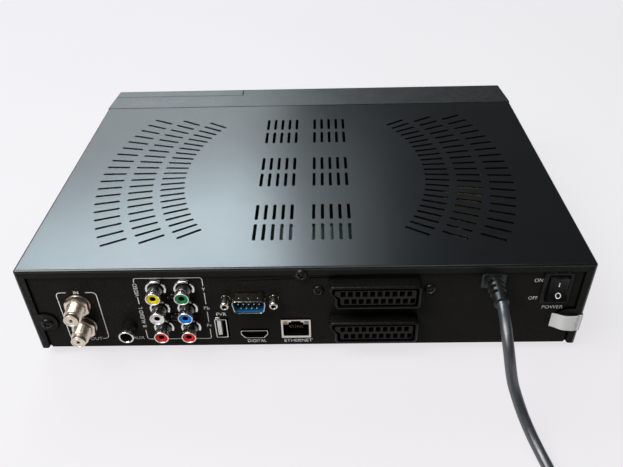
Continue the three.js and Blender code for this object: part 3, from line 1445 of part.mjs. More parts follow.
function circle(radius, sides) {
  const points = [];
  for (let i = 0; i < sides; i += 1) {
    const angle = (i + 1 / 2) / sides * Math.PI * 2;
    points.push([radius * Math.cos(angle), radius * Math.sin(angle)]);
  }
  return outline(points);
}
add(
  'mains_cord',
  solidOf(new THREE.ExtrudeGeometry(
    circle(cord.radius, facets.tube),
    { steps: facets.route, extrudePath: routeCurve, bevelEnabled: false },
  )),
  finishes.rubberBlack,
);

// Coil: one unbroken tube that spirals in on the floor, climbs, and spirals out on top
const routeEnd = routePoints[routePoints.length - 1];
const coilPitch = cord.radius * 2 + cord.clearance;
const coilOuter = coil.innerRadius + coilPitch * coilTurns / 2;
const coilCentre = { x: routeEnd.x + coilOuter, y: routeEnd.y + gap + cord.radius * 2 };

function coilPath() {
  const points = [new THREE.Vector3(routeEnd.x, routeEnd.y + gap, routeEnd.z)];
  const count = coilTurns * facets.coilStep;
  const smooth = (share) => share * share * (1 + 2 * (1 - share));
  for (let i = 0; i <= count; i += 1) {
    const turns = i / facets.coilStep;
    const radius = coil.innerRadius + coilPitch * Math.abs(turns - coilTurns / 2);
    const climb = Math.min(Math.max((turns - coilTurns / 2) * 2 + 1 / 2, 0), 1);
    const angle = Math.PI - turns * Math.PI * 2;
    points.push(new THREE.Vector3(
      coilCentre.x + radius * Math.cos(angle),
      coilCentre.y + radius * Math.sin(angle),
      routeEnd.z + coilPitch * smooth(climb),
    ));
  }
  const last = points[points.length - 1];
  const drop = coil.restHeight - last.z;
  const steps = facets.corner * 2;
  for (let i = 1; i <= steps; i += 1) {
    const share = i / steps;
    const fall = Math.min(share * coil.leadOut / (coil.leadOut - cord.radius * 2), 1);
    points.push(new THREE.Vector3(last.x + share * coil.leadOut, last.y, last.z + drop * smooth(fall)));
  }
  return points;
}

function tubeAlong(points, radius, sides) {
  const positions = [];
  const index = [];
  points.forEach((point, i) => {
    const before = points[Math.max(i - 1, 0)];
    const after = points[Math.min(i + 1, points.length - 1)];
    const along = after.clone().sub(before).normalize();
    const side = new THREE.Vector3(0, 0, 1).cross(along).normalize();
    const over = along.clone().cross(side);
    for (let k = 0; k < sides; k += 1) {
      const angle = (k + 1 / 2) / sides * Math.PI * 2;
      const at = point.clone();
      at.addScaledVector(side, radius * Math.cos(angle)).addScaledVector(over, radius * Math.sin(angle));
      positions.push(at.x, at.y, at.z);
    }
  });
  for (let i = 0; i + 1 < points.length; i += 1) {
    for (let k = 0; k < sides; k += 1) {
      const next = (k + 1) % sides;
      const [a, b] = [i * sides + k, i * sides + next];
      index.push(a, b, b + sides, a, b + sides, a + sides);
    }
  }
  const lastRing = (points.length - 1) * sides;
  for (let k = 1; k + 1 < sides; k += 1) {
    index.push(0, k + 1, k, lastRing, lastRing + k, lastRing + k + 1);
  }
  const geometry = new THREE.BufferGeometry();
  geometry.setAttribute('position', new THREE.Float32BufferAttribute(positions, 3));
  geometry.setIndex(index);
  return geometry;
}
const coilPoints = coilPath();
add('mains_cord_coil', solidOf(tubeAlong(coilPoints, cord.radius, facets.coil)), finishes.rubberBlack);

// Least gap of the coil to itself, between stretches more than half a turn apart
let leastGap = Infinity;
coilPoints.forEach((point, i) => {
  for (let k = i + facets.coilStep / 2; k < coilPoints.length; k += 1) {
    leastGap = Math.min(leastGap, point.distanceTo(coilPoints[k]) - cord.radius * 2);
  }
});
const pathLength = (points) => points.slice(1).reduce((sum, point, i) => sum + point.distanceTo(points[i]), 0);
console.log(`coil: least gap to itself ${leastGap.toFixed(2)} mm`);
console.log(`cord length ${(routeCurve.getLength() + pathLength(coilPoints)).toFixed(0)} mm`);

// Mains plug: flat two-pin plug lying beside the coil
function mainsPlug() {
  const start = coilPoints[coilPoints.length - 1];
  const x0 = start.x + gap;
  const [y, z] = [start.y, start.z];
  const shoulderX = x0 + plug.length * plug.tailShare;
  const faceX = x0 + plug.length;
  const bendX = x0 + plug.length * plug.faceShare;
  const [tail, wide, face] = [plug.tailWidth / 2, plug.width / 2, plug.faceWidth / 2];
  const shape = outline([
    [x0, y - tail], [shoulderX, y - tail], [bendX, y - wide], [faceX, y - face],
    [faceX, y + face], [bendX, y + wide], [shoulderX, y + tail], [x0, y + tail],
  ]);
  const bodyHalf = plug.height / 2 - plug.edge;
  const core = new THREE.ExtrudeGeometry(shape, {
    depth: bodyHalf * 2, bevelEnabled: true, bevelThickness: plug.edge, bevelSize: plug.edge,
    bevelOffset: -plug.edge, bevelSegments: 1,
  });
  core.translate(0, 0, z - bodyHalf);
  const pins = [-1, 1].map((side) => join(
    barX(y + side * plug.pinPitch / 2, z, plug.pinRadius, faceX - plug.edge, faceX + plug.pinLength - plug.pinTip),
    barX(
      y + side * plug.pinPitch / 2, z, plug.pinRadius - plug.pinTip / 2, faceX, faceX + plug.pinLength,
    ),
  ));
  return join(solidOf(core), ...pins);
}
add('mains_plug', mainsPlug(), finishes.rubberBlack);

export default receiver;
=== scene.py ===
from collections import namedtuple
from math import asin, cos, degrees, pi, radians, sin

import bmesh
import bpy
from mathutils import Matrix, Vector
from mathutils.geometry import delaunay_2d_cdt


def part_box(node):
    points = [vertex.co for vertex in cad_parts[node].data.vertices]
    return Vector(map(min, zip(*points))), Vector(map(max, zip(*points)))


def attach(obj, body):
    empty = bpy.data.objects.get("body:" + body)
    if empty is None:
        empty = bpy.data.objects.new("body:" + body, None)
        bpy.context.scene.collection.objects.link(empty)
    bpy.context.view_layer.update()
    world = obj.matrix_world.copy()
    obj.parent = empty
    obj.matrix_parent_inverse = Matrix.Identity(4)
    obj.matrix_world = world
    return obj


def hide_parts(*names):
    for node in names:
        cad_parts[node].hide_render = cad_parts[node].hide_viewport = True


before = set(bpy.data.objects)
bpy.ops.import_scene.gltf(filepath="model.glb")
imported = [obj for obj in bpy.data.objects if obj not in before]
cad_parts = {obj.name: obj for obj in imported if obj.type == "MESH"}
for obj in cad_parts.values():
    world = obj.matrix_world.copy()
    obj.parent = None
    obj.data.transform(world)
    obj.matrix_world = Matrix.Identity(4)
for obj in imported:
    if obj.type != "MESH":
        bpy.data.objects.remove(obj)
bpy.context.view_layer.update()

# Lengths below are in millimetres, as in the part's source; the meshes are made in metres
MM = 0.001
TURN = 2 * pi
Place = namedtuple("Place", "low high mid")


def where(name):
    """Lowest corner, highest corner and middle of a CAD node, in millimetres."""
    low, high = (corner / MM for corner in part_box(name))
    return Place(low, high, (low + high) / 2)


def link(name, data):
    """A new object of the scene."""
    made = bpy.data.objects.new(name, data)
    bpy.context.scene.collection.objects.link(made)
    return made


# ---- camera
def make_camera():
    data = bpy.data.cameras.new("camera")
    data.sensor_width, data.lens = 36, 36.73
    camera = link("camera", data)
    camera.location = (-0.01165, 0.35239, 0.27109)
    camera.rotation_euler = [radians(a) for a in (53.150, 1.356, -179.507)]
    bpy.context.scene.camera = camera


make_camera()


# ---- materials
MIX_FIRST, MIX_SECOND, MIX_RESULT = 6, 7, 2  # the colour sockets of a Mix node


def new_material(name):
    material = bpy.data.materials.new(name)
    material.use_nodes = True
    tree = material.node_tree
    return material, tree, next(n for n in tree.nodes if n.type == "BSDF_PRINCIPLED")


def feed(tree, made, inputs):
    """Links a node's inputs to other sockets, or sets their values."""
    for key, value in inputs.items():
        socket = made.inputs[key]
        if isinstance(value, bpy.types.NodeSocket):
            tree.links.new(value, socket)
        elif socket.type == "RGBA":
            socket.default_value = (*value[:3], 1)
        else:
            socket.default_value = value
    return made


def node(tree, kind, inputs, **settings):
    made = tree.nodes.new("ShaderNode" + kind)
    for key, value in settings.items():
        setattr(made, key, value)
    return feed(tree, made, inputs)


def coordinates(tree, stretch=(1, 1, 1)):
    place = node(tree, "TexCoord", {}).outputs["Object"]
    return node(tree, "Mapping", {"Vector": place, "Scale": stretch}).outputs["Vector"]


def noise(tree, scale, detail=3.0, stretch=(1, 1, 1), rough=0.5):
    inputs = {"Vector": coordinates(tree, stretch), "Scale": scale, "Detail": detail, "Roughness": rough}
    return node(tree, "TexNoise", inputs).outputs["Fac"]


def ramp(tree, value, low, high, out_low=0.0, out_high=1.0):
    inputs = {"Value": value, "From Min": low, "From Max": high, "To Min": out_low, "To Max": out_high}
    return node(tree, "MapRange", inputs).outputs["Result"]


def mix(tree, share, first, second):
    inputs = {"Factor": share, MIX_FIRST: first, MIX_SECOND: second}
    return node(tree, "Mix", inputs, data_type="RGBA").outputs[MIX_RESULT]


def lighter(colour, factor):
    return tuple(min(1.0, c * factor) for c in colour)


def bump(tree, shader, strength, height, distance=0.0002):
    """Lays a bump over those that the shader already has."""
    made = node(tree, "Bump", {"Strength": strength, "Distance": distance, "Height": height})
    for before in shader.inputs["Normal"].links:
        tree.links.new(before.from_socket, made.inputs["Normal"])
    tree.links.new(made.outputs["Normal"], shader.inputs["Normal"])


def surface(
    name, colour, rough, tone=0.12, patch=0.05, grain=0.0, ripple=0.0, wear=None, metal=0.0, ior=1.5, coat=0.0,
    coat_rough=0.1, brushed=(1, 1, 1),
):
    """A moulded, painted or plated surface, whose tone, gloss, grain and ripple vary in noise. Each of these is
    an amount, or an amount and the noise's scale. Wear is its amount and the grey that shows at the edges."""
    (tone, tone_scale), (patch, patch_scale), grain, ripple = (
        value if isinstance(value, tuple) else (value, usual_scale)
        for value, usual_scale in ((tone, 40), (patch, 120), (grain, 2500), (ripple, 600))
    )
    material, tree, shader = new_material(name)
    tones = noise(tree, tone_scale, 4.0, brushed)
    base = mix(tree, ramp(tree, tones, 0.3, 0.7), lighter(colour, 1 - tone), lighter(colour, 1 + tone))
    if wear:
        amount, grey = wear
        edge = ramp(tree, node(tree, "NewGeometry", {}).outputs["Pointiness"], 0.52, 0.6)
        spots = ramp(tree, noise(tree, 900, 5.0), 0.45, 0.62, 0, amount)
        share = node(tree, "Math", {0: edge, 1: spots}, operation="MULTIPLY").outputs[0]
        base = mix(tree, share, base, (grey, grey, grey))
    gloss = noise(tree, patch_scale, 5.0, brushed, 0.6)
    feed(tree, shader, {
        "Base Color": base, "Roughness": ramp(tree, gloss, 0.3, 0.7, max(0.02, rough - patch), rough + patch),
        "Metallic": metal, "IOR": ior, "Coat Weight": coat, "Coat Roughness": coat_rough,
    })
    for (strength, scale), detail in ((ripple, 1.0), (grain, 3.0)):
        if strength:
            bump(tree, shader, strength, noise(tree, scale, detail, brushed))
    return material


def circuit_surface(name, colour):
    """A solder-masked board: tracks, pads and a slight weave under the mask."""
    material, tree, shader = new_material(name)
    place = coordinates(tree)
    bricks = {
        "Vector": place, "Scale": 90.0, "Mortar Size": 0.12, "Mortar Smooth": 0.1, "Brick Width": 0.9,
        "Row Height": 0.21,
    }
    tracks = node(
        tree, "TexBrick", bricks, offset=0.37, offset_frequency=3, squash=1.6, squash_frequency=4,
    ).outputs["Fac"]
    pads = node(tree, "TexVoronoi", {"Vector": place, "Scale": 260.0}).outputs["Distance"]
    lit = mix(tree, tracks, lighter(colour, 0.8), lighter(colour, 1.5))
    patched = mix(tree, ramp(tree, noise(tree, 70, 2.0), 0.5, 0.53), lit, lighter(colour, 0.55))
    feed(tree, shader, {
        "Base Color": mix(tree, ramp(tree, pads, 0.16, 0.12), patched, (0.22, 0.22, 0.23)),
        "Roughness": ramp(tree, noise(tree, 900), 0.3, 0.7, 0.25, 0.45),
    })
    bump(tree, shader, 0.4, tracks)
    return material


def galvanised(name, colour, rough):
    """Zinc plated sheet: spangles of slightly different tone and gloss."""
    material, tree, shader = new_material(name)
    cells = node(tree, "TexVoronoi", {"Vector": coordinates(tree), "Scale": 220.0}).outputs["Color"]
    tone = node(tree, "SeparateColor", {"Color": cells}).outputs[0]
    feed(tree, shader, {
        "Base Color": mix(tree, tone, lighter(colour, 0.75), lighter(colour, 1.125)),
        "Roughness": ramp(tree, tone, 0, 1, rough - 0.08, rough + 0.1), "Metallic": 0.95,
    })
    bump(tree, shader, 0.15, noise(tree, 1800))
    return material


def lined_surface(name, colour, rough, pitch, direction):
    """Parallel cores or layers of tape, pitch millimetres apart."""
    material, tree, shader = new_material(name)
    waves = {"Vector": coordinates(tree), "Scale": TURN / (20 * pitch * MM), "Distortion": 0.15, "Detail": 1.0}
    wave = node(tree, "TexWave", waves, bands_direction=direction).outputs["Fac"]
    tones = mix(tree, ramp(tree, wave, 0.1, 0.5), lighter(colour, 0.6), colour)
    feed(tree, shader, {
        "Base Color": mix(tree, ramp(tree, noise(tree, 90), 0.35, 0.65), tones, lighter(colour, 1.1)),
        "Roughness": ramp(tree, noise(tree, 500), 0.3, 0.7, rough - 0.08, rough + 0.08),
    })
    bump(tree, shader, 0.3, wave, 0.0003)
    return material


PAINT = surface("case_paint", (0.0034, 0.0042, 0.0046), 0.26, (0.1, 25), (0.012, 30), (0.016, 2600), (0.006, 420))
PAINT_EDGE = surface(
    "case_paint_flange", (0.0098, 0.0098, 0.0084), 0.34, (0.15, 25), (0.02, 60), (0.05, 2600), wear=(0.25, 0.08),
    ior=1.15,
)
PANEL_PAINT = surface(
    "panel_paint", (0.0100, 0.0096, 0.0074), 0.36, (0.12, 30), (0.03, 60), (0.03, 3200), wear=(0.15, 0.05),
    ior=1.12,
)
BEZEL = surface("bezel_plastic", (0.0075, 0.0085, 0.0082), 0.38, (0.1, 30), 0.04, (0.22, 2800), wear=(0.2, 0.08))
SMOKED = surface(
    "smoked_pane", (0.0030, 0.0026, 0.0030), 0.07, 0.2, (0.03, 35), ripple=(0.02, 120), ior=1.25, coat=0.15,
    coat_rough=0.03,
)
BUTTON = surface("button_plastic", (0.016, 0.0165, 0.017), 0.35, grain=0.12, wear=(0.2, 0.3))
ZINC = galvanised("zinc_sheet", (0.30, 0.31, 0.32), 0.44)
STEEL = surface("tinned_shell", (0.64, 0.60, 0.53), 0.2, (0.07, 160), (0.04, 300), (0.03, 1500), metal=1)
NICKEL = surface("nickel_plate", (0.70, 0.62, 0.53), 0.33, (0.06, 220), (0.05, 400), (0.03, 1800), metal=1)
CHROME = surface("bright_ring", (0.76, 0.74, 0.70), 0.24, (0.06, 200), (0.05, 400), (0.05, 1500), metal=1)
GOLD = surface("gilt_contact", (0.83, 0.60, 0.26), 0.28, (0.1, 300), 0.08, 0.06, metal=1)
CONTACT = surface("dull_contact", (0.30, 0.28, 0.24), 0.4, 0.1, 0.05, 0.05, metal=1)
# DARK is painted shade: near-black and almost matt, for holes, recesses, the sheet's cut edges and the strips in the
# gaps, where shade falls; in a few sockets it is their black plastic too.
DARK = surface("deep_shadow_plastic", (0.003, 0.003, 0.003), 0.6, 0.2, 0.05, 0.1, ior=1.1)
SOCKET = surface("socket_plastic", (0.0036, 0.0038, 0.0038), 0.3, 0.15, 0.06, 0.08, wear=(0.2, 0.06), ior=1.22)
BARREL = surface("jack_barrel_plastic", (0.007, 0.007, 0.007), 0.13, 0.1, 0.03, 0.02)
SLOT_BLOCK = surface("slot_block_plastic", (0.016, 0.015, 0.0125), 0.42, 0.15, 0.06, 0.12, ior=1.2)
SCREW = surface("black_screw_plating", (0.007, 0.007, 0.007), 0.2, 0.2, 0.05, 0.03, ior=1.3)
PAPER = surface("seal_paper", (0.92, 0.93, 0.93), 0.75, (0.05, 90), 0.08, (0.5, 900), (0.5, 160))
INK = surface("printed_ink", (0.92, 0.92, 0.90), 0.6, (0.14, 1500), 0.05, 0.1)
RUBBER = surface("foot_rubber", (0.014, 0.014, 0.014), 0.8, 0.2, 0.05, (0.4, 1500))
BOOT = surface("boot_rubber", (0.008, 0.0085, 0.0085), 0.3, 0.15, 0.05, (0.12, 1400), ior=1.38)
SHEATH = surface(
    "cord_sheath", (0.026, 0.030, 0.037), 0.36, (0.15, 70), (0.06, 200), (0.1, 1300), (0.06, 220), ior=1.85,
)
# The board's green is darkened: painted shade for the dim inside of the case, seen through the vents.
BOARD = circuit_surface("circuit_board", (0.004, 0.026, 0.011))
CHIP = surface("component_plastic", (0.013, 0.013, 0.013), 0.45, 0.2, grain=0.2)
ALUMINIUM = surface(
    "sawn_aluminium", (0.55, 0.56, 0.57), 0.38, 0.1, 0.08, (0.2, 900), metal=1, brushed=(1, 6, 1),
)
FERRITE = lined_surface("ferrite_tape", (0.26, 0.20, 0.03), 0.45, 2.4, "Z")
SLEEVE = surface("capacitor_sleeve", (0.012, 0.045, 0.19), 0.25, 0.1, ripple=(0.1, 150))
RIBBON = lined_surface("ribbon_sheath", (0.20, 0.20, 0.19), 0.45, 1.27, "Y")
WHITE = surface("white_plastic", (0.90, 0.90, 0.88), 0.35, 0.05, 0.05, 0.05)
SERIAL_BLUE = surface("serial_insert", (0.008, 0.10, 0.26), 0.35, 0.12, 0.05, 0.08, ior=1.3)
LAMP_YELLOW = surface("yellow_lamp", (0.42, 0.30, 0.04), 0.2, 0.1, coat=0.5)
LAMP_GREEN = surface("green_lamp", (0.03, 0.17, 0.04), 0.2, 0.1, coat=0.5)
INSERTS = {
    name: surface(f"jack_{name}", colour, 0.32, 0.08, 0.05, 0.05, ior=1.25)
    for name, colour in {
        "yellow": (0.95, 0.72, 0.0), "white": (0.90, 0.91, 0.90), "red": (0.75, 0.012, 0.010),
        "green": (0.0, 0.24, 0.065), "blue": (0.0, 0.24, 0.85),
    }.items()
}


# ---- outlines and paths
def smooth(share):
    share = min(max(share, 0.0), 1.0)
    return share * share * (3 - 2 * share)


def area(outline):
    """Twice the outline's area; above zero where it runs counter-clockwise."""
    return sum(a[0] * b[1] - b[0] * a[1] for a, b in zip(outline, [*outline[1:], outline[0]]))


def offset(points, distance):
    """The outline moved outwards by distance; it may run either way round."""
    sign = 1 if area(points) > 0 else -1
    moved = []
    for i in range(len(points)):
        before, here, after = (Vector(points[k % len(points)]) for k in (i - 1, i, i + 1))
        first, second = (here - before).normalized(), (after - here).normalized()
        n1, n2 = Vector((first.y, -first.x)) * sign, Vector((second.y, -second.x)) * sign
        middle = (n1 + n2 if (n1 + n2).length > 1e-6 else n1).normalized()
        moved.append(tuple(here + middle * (distance / max(middle.dot(n1), 0.35))))
    return moved


def arc(x, y, radius, start, end, steps):
    """Points on an arc; the angles are in degrees."""
    angles = [radians(start + (end - start) * i / steps) for i in range(steps + 1)]
    return [(x + radius * cos(a), y + radius * sin(a)) for a in angles]


def disc(x, y, radius, sides=32):
    return arc(x, y, radius, 0, 360, sides)[:-1]


def rounded(width, height, corner, steps=5, x=0.0, y=0.0):
    """A rectangle with rounded corners."""
    w, h = width / 2 - corner, height / 2 - corner
    quarters = ((w, h, 0), (-w, h, 90), (-w, -h, 180), (w, -h, 270))
    return [p for a, b, start in quarters for p in arc(x + a, y + b, corner, start, start + 90, steps)]


def mirrored(half):
    """An outline from its right-hand half, which runs upwards."""
    return half + [(-x, y) for x, y in half[::-1]]


def flat_faces(outline, holes=()):
    """Points and triangles of a flat outline with holes. The outline may run either way round."""
    points, spans = [], []
    for loop in (outline if area(outline) > 0 else outline[::-1], *holes):
        spans.append(list(range(len(points), len(points) + len(loop))))
        points += loop
    found = delaunay_2d_cdt([Vector(p) for p in points], [], spans, 1, 1e-6)
    faces = [tuple(face) for face, origins in zip(found[2], found[5]) if list(origins) == [0]]
    return [tuple(v) for v in found[0]], faces


def upright(points, y):
    """Flat points stood up across the unit, at a depth y."""
    return [(a, y, b) for a, b in points]


def turned(depths, sides, radius_at):
    """Rings about the Y axis, one at each depth. The radius follows the depth and the angle."""
    rows = []
    for y in depths:
        polar = [(radius_at(y, a), a) for a in (TURN * i / sides for i in range(sides))]
        rows.append([(r * cos(a), y, r * sin(a)) for r, a in polar])
    return rows


def through(points, steps):
    """A smooth path through points, with steps stretches between each two (centripetal Catmull-Rom)."""
    vectors = [Vector(p) for p in points]
    ends = [vectors[0] * 2 - vectors[1], *vectors, vectors[-1] * 2 - vectors[-2]]
    path = []
    for four in zip(ends, ends[1:], ends[2:], ends[3:]):
        knots = [0.0]
        for a, b in zip(four, four[1:]):
            knots.append(knots[-1] + max((b - a).length ** 0.5, 1e-4))
        for k in range(steps):
            t, row = knots[1] + (knots[2] - knots[1]) * k / steps, four
            for spans in (((0, 1), (1, 2), (2, 3)), ((0, 2), (1, 3)), ((1, 2),)):
                row = [
                    a * ((knots[j] - t) / (knots[j] - knots[i])) + b * ((t - knots[i]) / (knots[j] - knots[i]))
                    for a, b, (i, j) in zip(row, row[1:], spans)
                ]
            path.append(row[0])
    path.append(vectors[-1])
    return path


# ---- shapes
AXES = {
    "X": lambda a, b, t: (t, a, b),
    "Y": lambda a, b, t: (a, t, b),
    "Z": lambda a, b, t: (a, b, t),
}


def add_modifiers(made, modifiers):
    for kind, settings in modifiers:
        modifier = made.modifiers.new(kind.lower(), kind)
        for key, value in settings.items():
            setattr(modifier, key, value)


class Shape:
    """The faces of one piece. Points are in millimetres from its origin, and a number gives each face's finish."""

    def __init__(self, x=0, y=0, z=0):
        self.origin = Vector((x, y, z))
        self.points, self.faces, self.finishes = [], [], []

    def near(self, name):
        """The lowest and highest corners of a CAD node, from this piece's origin."""
        low, high, _ = where(name)
        return low - self.origin, high - self.origin

    def put(self, points, faces, finish=0):
        start = len(self.points)
        self.points += points
        self.faces += [[start + i for i in face] for face in faces]
        self.finishes += [finish] * len(faces)

    def grid(self, rows, finish=0, wrap=True, ends=True):
        """Rings joined one to the next and closed at both ends; without wrap, strips side by side."""
        width = len(rows[0])
        last = (len(rows) - 1) * width
        faces = [
            (r + i, r + (i + 1) % width, r + width + (i + 1) % width, r + width + i)
            for r in range(0, last, width) for i in range(width if wrap else width - 1)
        ]
        if ends and wrap:
            faces += [range(width - 1, -1, -1), range(last, last + width)]
        self.put([p for row in rows for p in row], faces, finish)

    def lathe(self, profile, centre=(0, 0, 0), axis="Y", sides=40):
        """A turned shape; the profile is a list of (radius, distance along, finish of the stretch before it)."""
        rings = []
        for radius, along, *_ in profile:
            ring = [AXES[axis](a, b, along) for a, b in disc(0, 0, radius, sides if radius else 1)]
            rings.append([tuple(c + p for c, p in zip(centre, point)) for point in ring])
        for one, two, (_, _, *finish) in zip(rings, rings[1:], profile[1:]):
            n, m = len(one), len(two)
            corners = [(i % n, (i + 1) % n, n + (i + 1) % m, n + i % m) for i in range(sides)]
            self.put(one + two, [tuple(dict.fromkeys(c)) for c in corners], *finish)

    def plate(self, outline, low, high, holes=(), bevel=0.0, finish=0, wall=None):
        """A plate across the unit between two depths, with holes and a bevel round its high face."""
        loops = [outline, *holes]
        levels = [(low, loops), (high, loops)]
        if bevel:
            shrunk = [offset(outline, -bevel), *(offset(hole, bevel) for hole in holes)]
            levels[1:] = [(high - bevel, loops), (high, shrunk)]
        for depth, (rim, *openings) in (levels[0], levels[-1]):
            points, faces = flat_faces(rim, openings)
            self.put(upright(points, depth), faces, finish)
        for k in range(len(loops)):
            rows = [upright(moved[k], depth) for depth, moved in levels]
            self.grid(rows, finish if wall is None else wall, ends=False)

    def box(self, x0, x1, y0, y1, z0, z1, bevel=0.0, finish=0):
        mesh = bmesh.new()
        bmesh.ops.create_cube(mesh, size=1)
        low, high = Vector((x0, y0, z0)), Vector((x1, y1, z1))
        for vertex in mesh.verts:
            vertex.co = (low + high) / 2 + vertex.co * (high - low)
        if bevel:
            bmesh.ops.bevel(mesh, geom=mesh.edges[:], offset=bevel, segments=2, affect="EDGES", profile=0.5)
        mesh.verts.index_update()
        self.put([v.co[:] for v in mesh.verts], [[v.index for v in f.verts] for f in mesh.faces], finish)
        mesh.free()

    def tube(self, path, radius, sides, finish):
        """A round bar along a path."""
        rows, side, last = [], None, len(path) - 1
        for i, point in enumerate(path):
            along = (Vector(path[min(i + 1, last)]) - Vector(path[max(i - 1, 0)])).normalized()
            side = side or along.orthogonal().normalized()
            side = (side - along * side.dot(along)).normalized()
            over = along.cross(side)
            rows.append([Vector(point) + side * a + over * b for a, b in disc(0, 0, radius, sides)])
        self.grid(rows, finish)

    def piece(
        self, name, materials, slot, replaces=(), body="case", sharp=32, weld=0.0005, modifiers=(), recalc=True,
    ):
        """Makes the Blender object, rides it on its body and hides the CAD nodes that it stands for."""
        mesh = bpy.data.meshes.new(name)
        mesh.from_pydata([tuple((c + o) * MM for c, o in zip(p, self.origin)) for p in self.points], [], self.faces)
        for material in materials:
            mesh.materials.append(material)
        mesh.polygons.foreach_set("material_index", self.finishes)
        tidy = bmesh.new()
        tidy.from_mesh(mesh)
        bmesh.ops.remove_doubles(tidy, verts=tidy.verts, dist=weld * MM)
        bmesh.ops.dissolve_degenerate(tidy, dist=weld * MM / 2, edges=tidy.edges)
        if recalc:
            bmesh.ops.recalc_face_normals(tidy, faces=tidy.faces)
        for face in tidy.faces:
            face.smooth = True
        tidy.to_mesh(mesh)
        tidy.free()
        mesh.set_sharp_from_angle(angle=radians(sharp))
        made = link(name, mesh)
        add_modifiers(made, modifiers)
        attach(made, body)
        if replaces:
            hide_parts(*replaces)
        return made


# ---- places
PANEL_Y = where("rear_panel").high.y
COVER = where("top_cover")
REAR_Y, LOW_Z, HIGH_Z, HALF = COVER.high.y, COVER.low.z, COVER.high.z, COVER.high.x
SEAM_Y = COVER.low.y + 0.55  # the visual cover leaves a seam at the bezel
JACK_BASE = where("phono_jack_yellow").low.y
# These sit where the photo shows them, up to a millimetre from their solids
SWITCH_Z, SCART_X, DIGITAL_JACK_Z, SERIAL_Z = 47.3, -37.3, 22.0, 41.2
GLAND_X, GLAND_Z = -98.4, 53


# ---- mains cord
CORD_RADIUS, CORD_Z = 2.75, 2.85  # CORD_Z is the cord's middle where it lies on the table
ROUTE = [
    (GLAND_X, 122, GLAND_Z), (GLAND_X, 124.5, GLAND_Z), (-97.9, 130.7, 52.2), (-97.7, 136.5, 49.8),
    (-97.9, 141.5, 46), (-98.5, 145.3, 41), (-99.5, 147.7, 35), (-101.1, 149.7, 27.9), (-102.9, 152.3, 22.4),
    (-106.1, 158.5, 14.4), (-109.6, 166.5, 8.2), (-113, 175.9, 4.3), (-115.6, 186, CORD_Z), (-116.8, 197, CORD_Z),
    (-117, 209, CORD_Z), (-117, 222, CORD_Z), (-117, 228, CORD_Z),
]
COIL_X, COIL_Y, COIL_INNER, COIL_TURNS, COIL_PITCH, COIL_STEPS = -74.25, 233.8, 24.0, 6.25, 6.0, 24
LEAD_OUT, PLUG_Z = 40.0, 7.0


def coil_path():
    """Inwards in the lower layer, up one layer, outwards again and straight on to the plug."""
    points = []
    for i in range(int(COIL_TURNS * COIL_STEPS) + 1):
        past_middle = i / COIL_STEPS - COIL_TURNS / 2
        radius = COIL_INNER + COIL_PITCH * abs(past_middle)
        angle = pi - i / COIL_STEPS * TURN
        z = CORD_Z + COIL_PITCH * smooth(past_middle * 2 + 0.5)
        points.append(Vector((COIL_X + radius * cos(angle), COIL_Y + radius * sin(angle), z)))
    last = points[-1].copy()
    for share in (i / 8 for i in range(1, 9)):
        fall = smooth(share * LEAD_OUT / (LEAD_OUT - CORD_RADIUS * 2))
        points.append(Vector((last.x + share * LEAD_OUT, last.y, last.z + (PLUG_Z - last.z) * fall)))
    return points


def mains_cord():
    path = through(ROUTE, 2) + coil_path()
    data = bpy.data.curves.new("mains_cord_line", "CURVE")
    data.dimensions = "3D"
    data.bevel_depth = CORD_RADIUS * MM
    data.bevel_resolution = 6
    data.use_fill_caps = True
    spline = data.splines.new("POLY")
    spline.points.add(len(path) - 1)
    for point, place in zip(spline.points, path):
        point.co = (*(place * MM), 1)
    spline.use_smooth = True
    data.materials.append(SHEATH)
    made = link("mains_lead", data)
    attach(made, "case")
    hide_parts("mains_cord", "mains_cord_coil")
    return made, sum((b - a).length for a, b in zip(path, path[1:]))


LEAD, LEAD_LENGTH = mains_cord()


PIN_OUT, PIN_APART = 19, 9.1
PLUG_BODY = (  # share of the body's length, half its width, half its height
    (0.0, 4.2, 4.2), (0.04, 4.9, 4.6), (0.16, 5.2, 4.9), (0.3, 6.2, 5.6), (0.45, 9.5, 6.3), (0.62, 14.2, 6.8),
    (0.78, 17.3, 6.8), (0.86, 17.4, 6.8), (0.95, 15.2, 6.7), (0.985, 13.6, 6.2), (1.0, 12.6, 5.4),
)
PLUG_PIN = (  # radius, distance past the body, finish: a dark sleeve and a bare end
    (0, -1, 1), (2.0, -1, 1), (2.0, 9.5, 1), (1.88, 9.7, 1), (1.9, 17.6, 2), (1.5, 18.7, 2), (0, PIN_OUT, 2),
)
GRIP_RIB = ((0, 0), (0.3, 0.8), (1.1, 0.8), (1.4, 0))  # distance along, growth


def mains_plug():
    """Flat two-pin plug: moulded body with a grip waist, and round pins with dark sleeves."""
    low, high, mid = where("mains_plug")
    end = high.x - PIN_OUT

    def ring(x, width, height, corner):
        return [(x, mid.y + a, mid.z + b) for a, b in rounded(width, height, corner)]

    shape = Shape()
    shape.grid([
        ring(low.x + share * (end - low.x), half * 2, tall * 2, min(half, tall) * 0.62)
        for share, half, tall in PLUG_BODY
    ])
    for side in (-1, 1):
        pin = [(radius, end + along, finish) for radius, along, finish in PLUG_PIN]
        shape.lathe(pin, (0, mid.y + side * PIN_APART, mid.z), "X", 24)
    for rib in range(4):
        start = low.x + 1.6 + rib * 2.3
        shape.grid([ring(start + along, 10.6 + grow, 10.2 + grow, 3.2 + grow / 4) for along, grow in GRIP_RIB])
    return shape.piece("plug_body", [BOOT, SOCKET, STEEL], "cord_sheath", ["mains_plug"], sharp=40)


PLUG = mains_plug()


